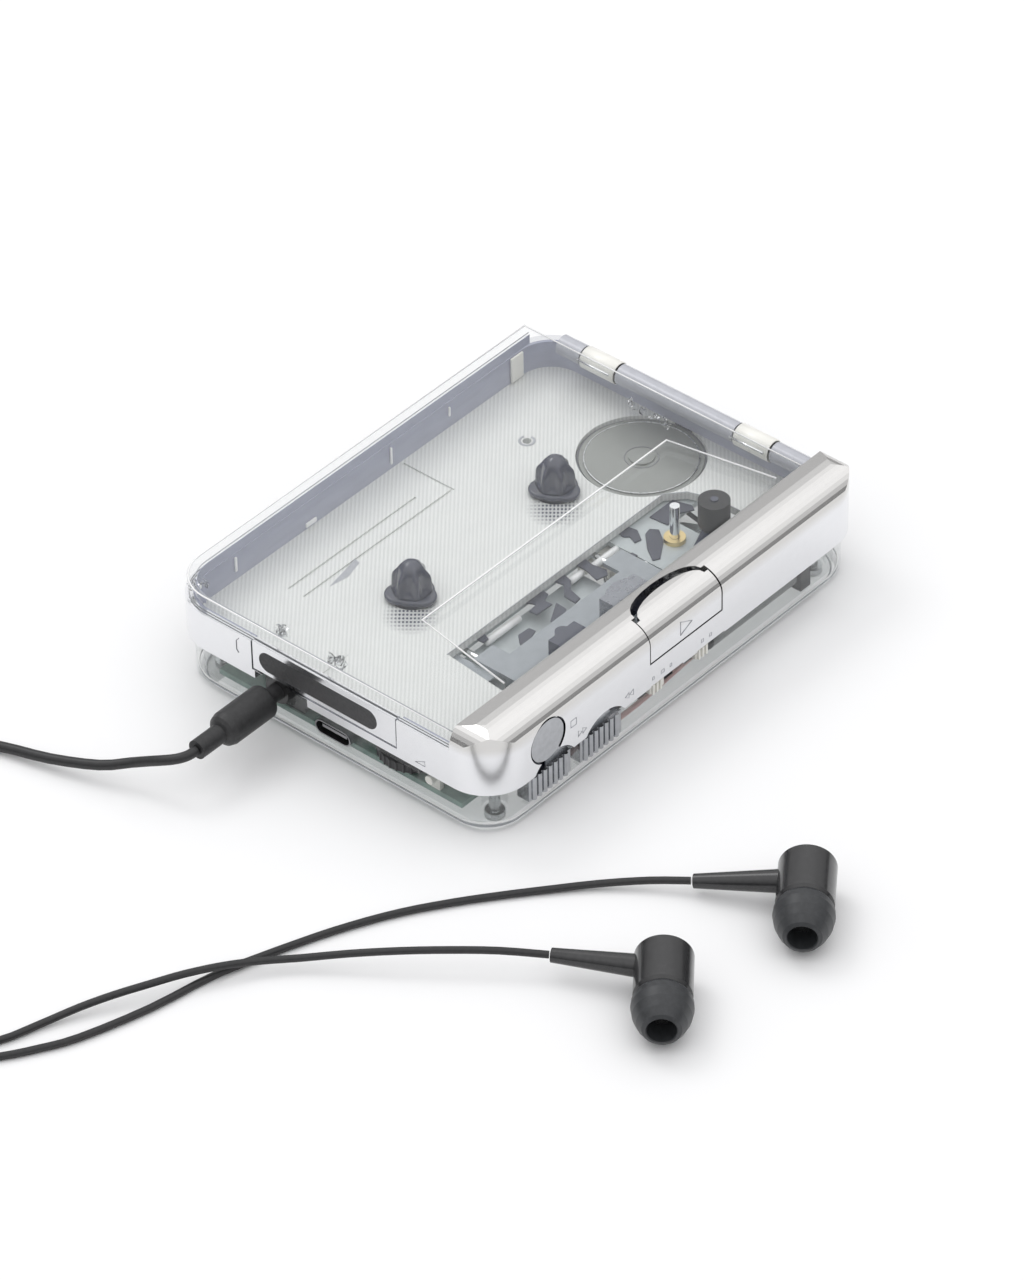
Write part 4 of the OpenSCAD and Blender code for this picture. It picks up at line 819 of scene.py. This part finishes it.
# drive spindles: a three-lobed flange and a dome-topped nose with six soft ribs
def spindle(name, x, y, body, node):
    verts, faces = [], []

    def rings(levels, n, radius):
        base = len(verts)
        for z, k in levels:
            for i in range(n):
                a = 2 * math.pi * i / n
                r = radius(a, k)
                verts.append(Vector(mm(x + r * math.cos(a), y + r * math.sin(a), z)))
        for j in range(len(levels) - 1):
            for i in range(n):
                p, q = base + j * n, base + (j + 1) * n
                faces.append((p + i, p + (i + 1) % n, q + (i + 1) % n, q + i))
        faces.append(tuple(base + i for i in range(n - 1, -1, -1)))
        faces.append(tuple(base + (len(levels) - 1) * n + i for i in range(n)))

    def lobes(a, k):
        best = 4.5
        for t in (30, 150, 270):
            d = a - math.radians(t)
            c, sn = math.cos(d), math.sin(d)
            if c > 0 and 2.9 ** 2 - (2.7 * sn) ** 2 > 0:
                best = max(best, 2.7 * c + math.sqrt(2.9 ** 2 - (2.7 * sn) ** 2))
        return best - k

    def nose(a, k):
        r, fin = k
        rib = (0.5 + 0.5 * math.cos(6 * a)) ** 2
        return r + fin * rib

    rings([(6.4, 1.6), (11.4, 1.6)], 24, lambda a, k: k)
    rings([(11.4, 3.7), (11.6, 3.88), (13.9, 3.88)], 32, lambda a, k: k)
    rings([(13.36, 0.25), (13.5, 0.04), (14.2, 0.04), (14.45, 0.2), (14.55, 0.5)], 96, lobes)
    rings([(14.5, (3.9, 0.2)), (14.9, (3.45, 0.6)), (15.6, (3.0, 1.05)), (16.6, (2.8, 1.2)),
           (17.6, (2.7, 1.22)), (18.3, (2.62, 1.1)), (18.8, (2.55, 0.8)), (19.2, (2.48, 0.5)),
           (19.6, (2.38, 0.3)), (20.1, (2.2, 0.2)), (20.6, (1.85, 0.1)), (21.0, (1.35, 0.0)),
           (21.25, (0.8, 0.0)), (21.38, (0.25, 0.0))], 96, nose)
    ob = collect(mesh_from(verts, faces, name), name, M["spindle"], body)
    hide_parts(node)
    return ob


spindle("ribbed_spindle_left", *SPINDLE_LEFT, "supply_body", "supply_spindle")
spindle("ribbed_spindle_right", *SPINDLE_RIGHT, "take_up_body", "take_up_spindle")

# the deck closes over the headphone socket
prism("socket_cover", [(-54.6, 7.4), (-41.6, 7.4), (-41.6, 19.4), (-54.6, 19.4)], 13.01, 13.14, M["deck"],
      "case", 0.0)

# ---------------------------------------------------------------- studio
fl = bpy.data.meshes.new("floor")
fl.from_pydata([(-3, -3, 0), (3, -3, 0), (3, 3, 0), (-3, 3, 0)], [], [(0, 1, 2, 3)])
floor = bpy.data.objects.new("floor", fl)
scene.collection.objects.link(floor)
fl.materials.append(surface("studio_floor", (0.92, 0.92, 0.92), 0.75, 0, 0.004, 20, 0.0, spec=0.2))

world = bpy.data.worlds.new("studio")
scene.world = world
world.use_nodes = True
wt = world.node_tree
wt.nodes.clear()
wo = wt.nodes.new("ShaderNodeOutputWorld")
bg = wt.nodes.new("ShaderNodeBackground")
tc = wt.nodes.new("ShaderNodeTexCoord")
sep = wt.nodes.new("ShaderNodeSeparateXYZ")
rp = wt.nodes.new("ShaderNodeValToRGB")
wt.links.new(tc.outputs["Generated"], sep.inputs["Vector"])
mrw = wt.nodes.new("ShaderNodeMapRange")
mrw.inputs["From Min"].default_value = -1
mrw.inputs["From Max"].default_value = 1
wt.links.new(sep.outputs["Z"], mrw.inputs["Value"])
wt.links.new(mrw.outputs["Result"], rp.inputs["Fac"])
stops = ((-1.0, 0.88), (-0.03, 0.80), (0.0, 0.05), (0.10, 0.03), (0.17, 0.42), (0.34, 0.66), (0.52, 0.82),
         (0.66, 1.12), (0.82, 1.34), (1.0, 1.22))
e = rp.color_ramp.elements
e[0].position = 0.0
e[1].position = 1.0
for z, c in stops[1:-1]:
    e.new((z + 1) / 2)
for el, (z, c) in zip(e, stops):
    el.position = (z + 1) / 2
    el.color = (c, c, c * 1.01, 1)
wt.links.new(rp.outputs["Color"], bg.inputs["Color"])
bg.inputs["Strength"].default_value = 1.0
wt.links.new(bg.outputs["Background"], wo.inputs["Surface"])


def area(name, loc, size, power, target=(0, 0, 0)):
    l = bpy.data.lights.new(name, "AREA")
    l.shape = "DISK"
    l.size = size
    l.energy = power
    o = bpy.data.objects.new(name, l)
    scene.collection.objects.link(o)
    o.location = loc
    o.rotation_euler = (Vector(target) - Vector(loc)).to_track_quat("-Z", "Y").to_euler()
    return o


area("key", (0.0, 0.85, 1.15), 0.6, 2.2)
scene.view_settings.view_transform = "Standard"
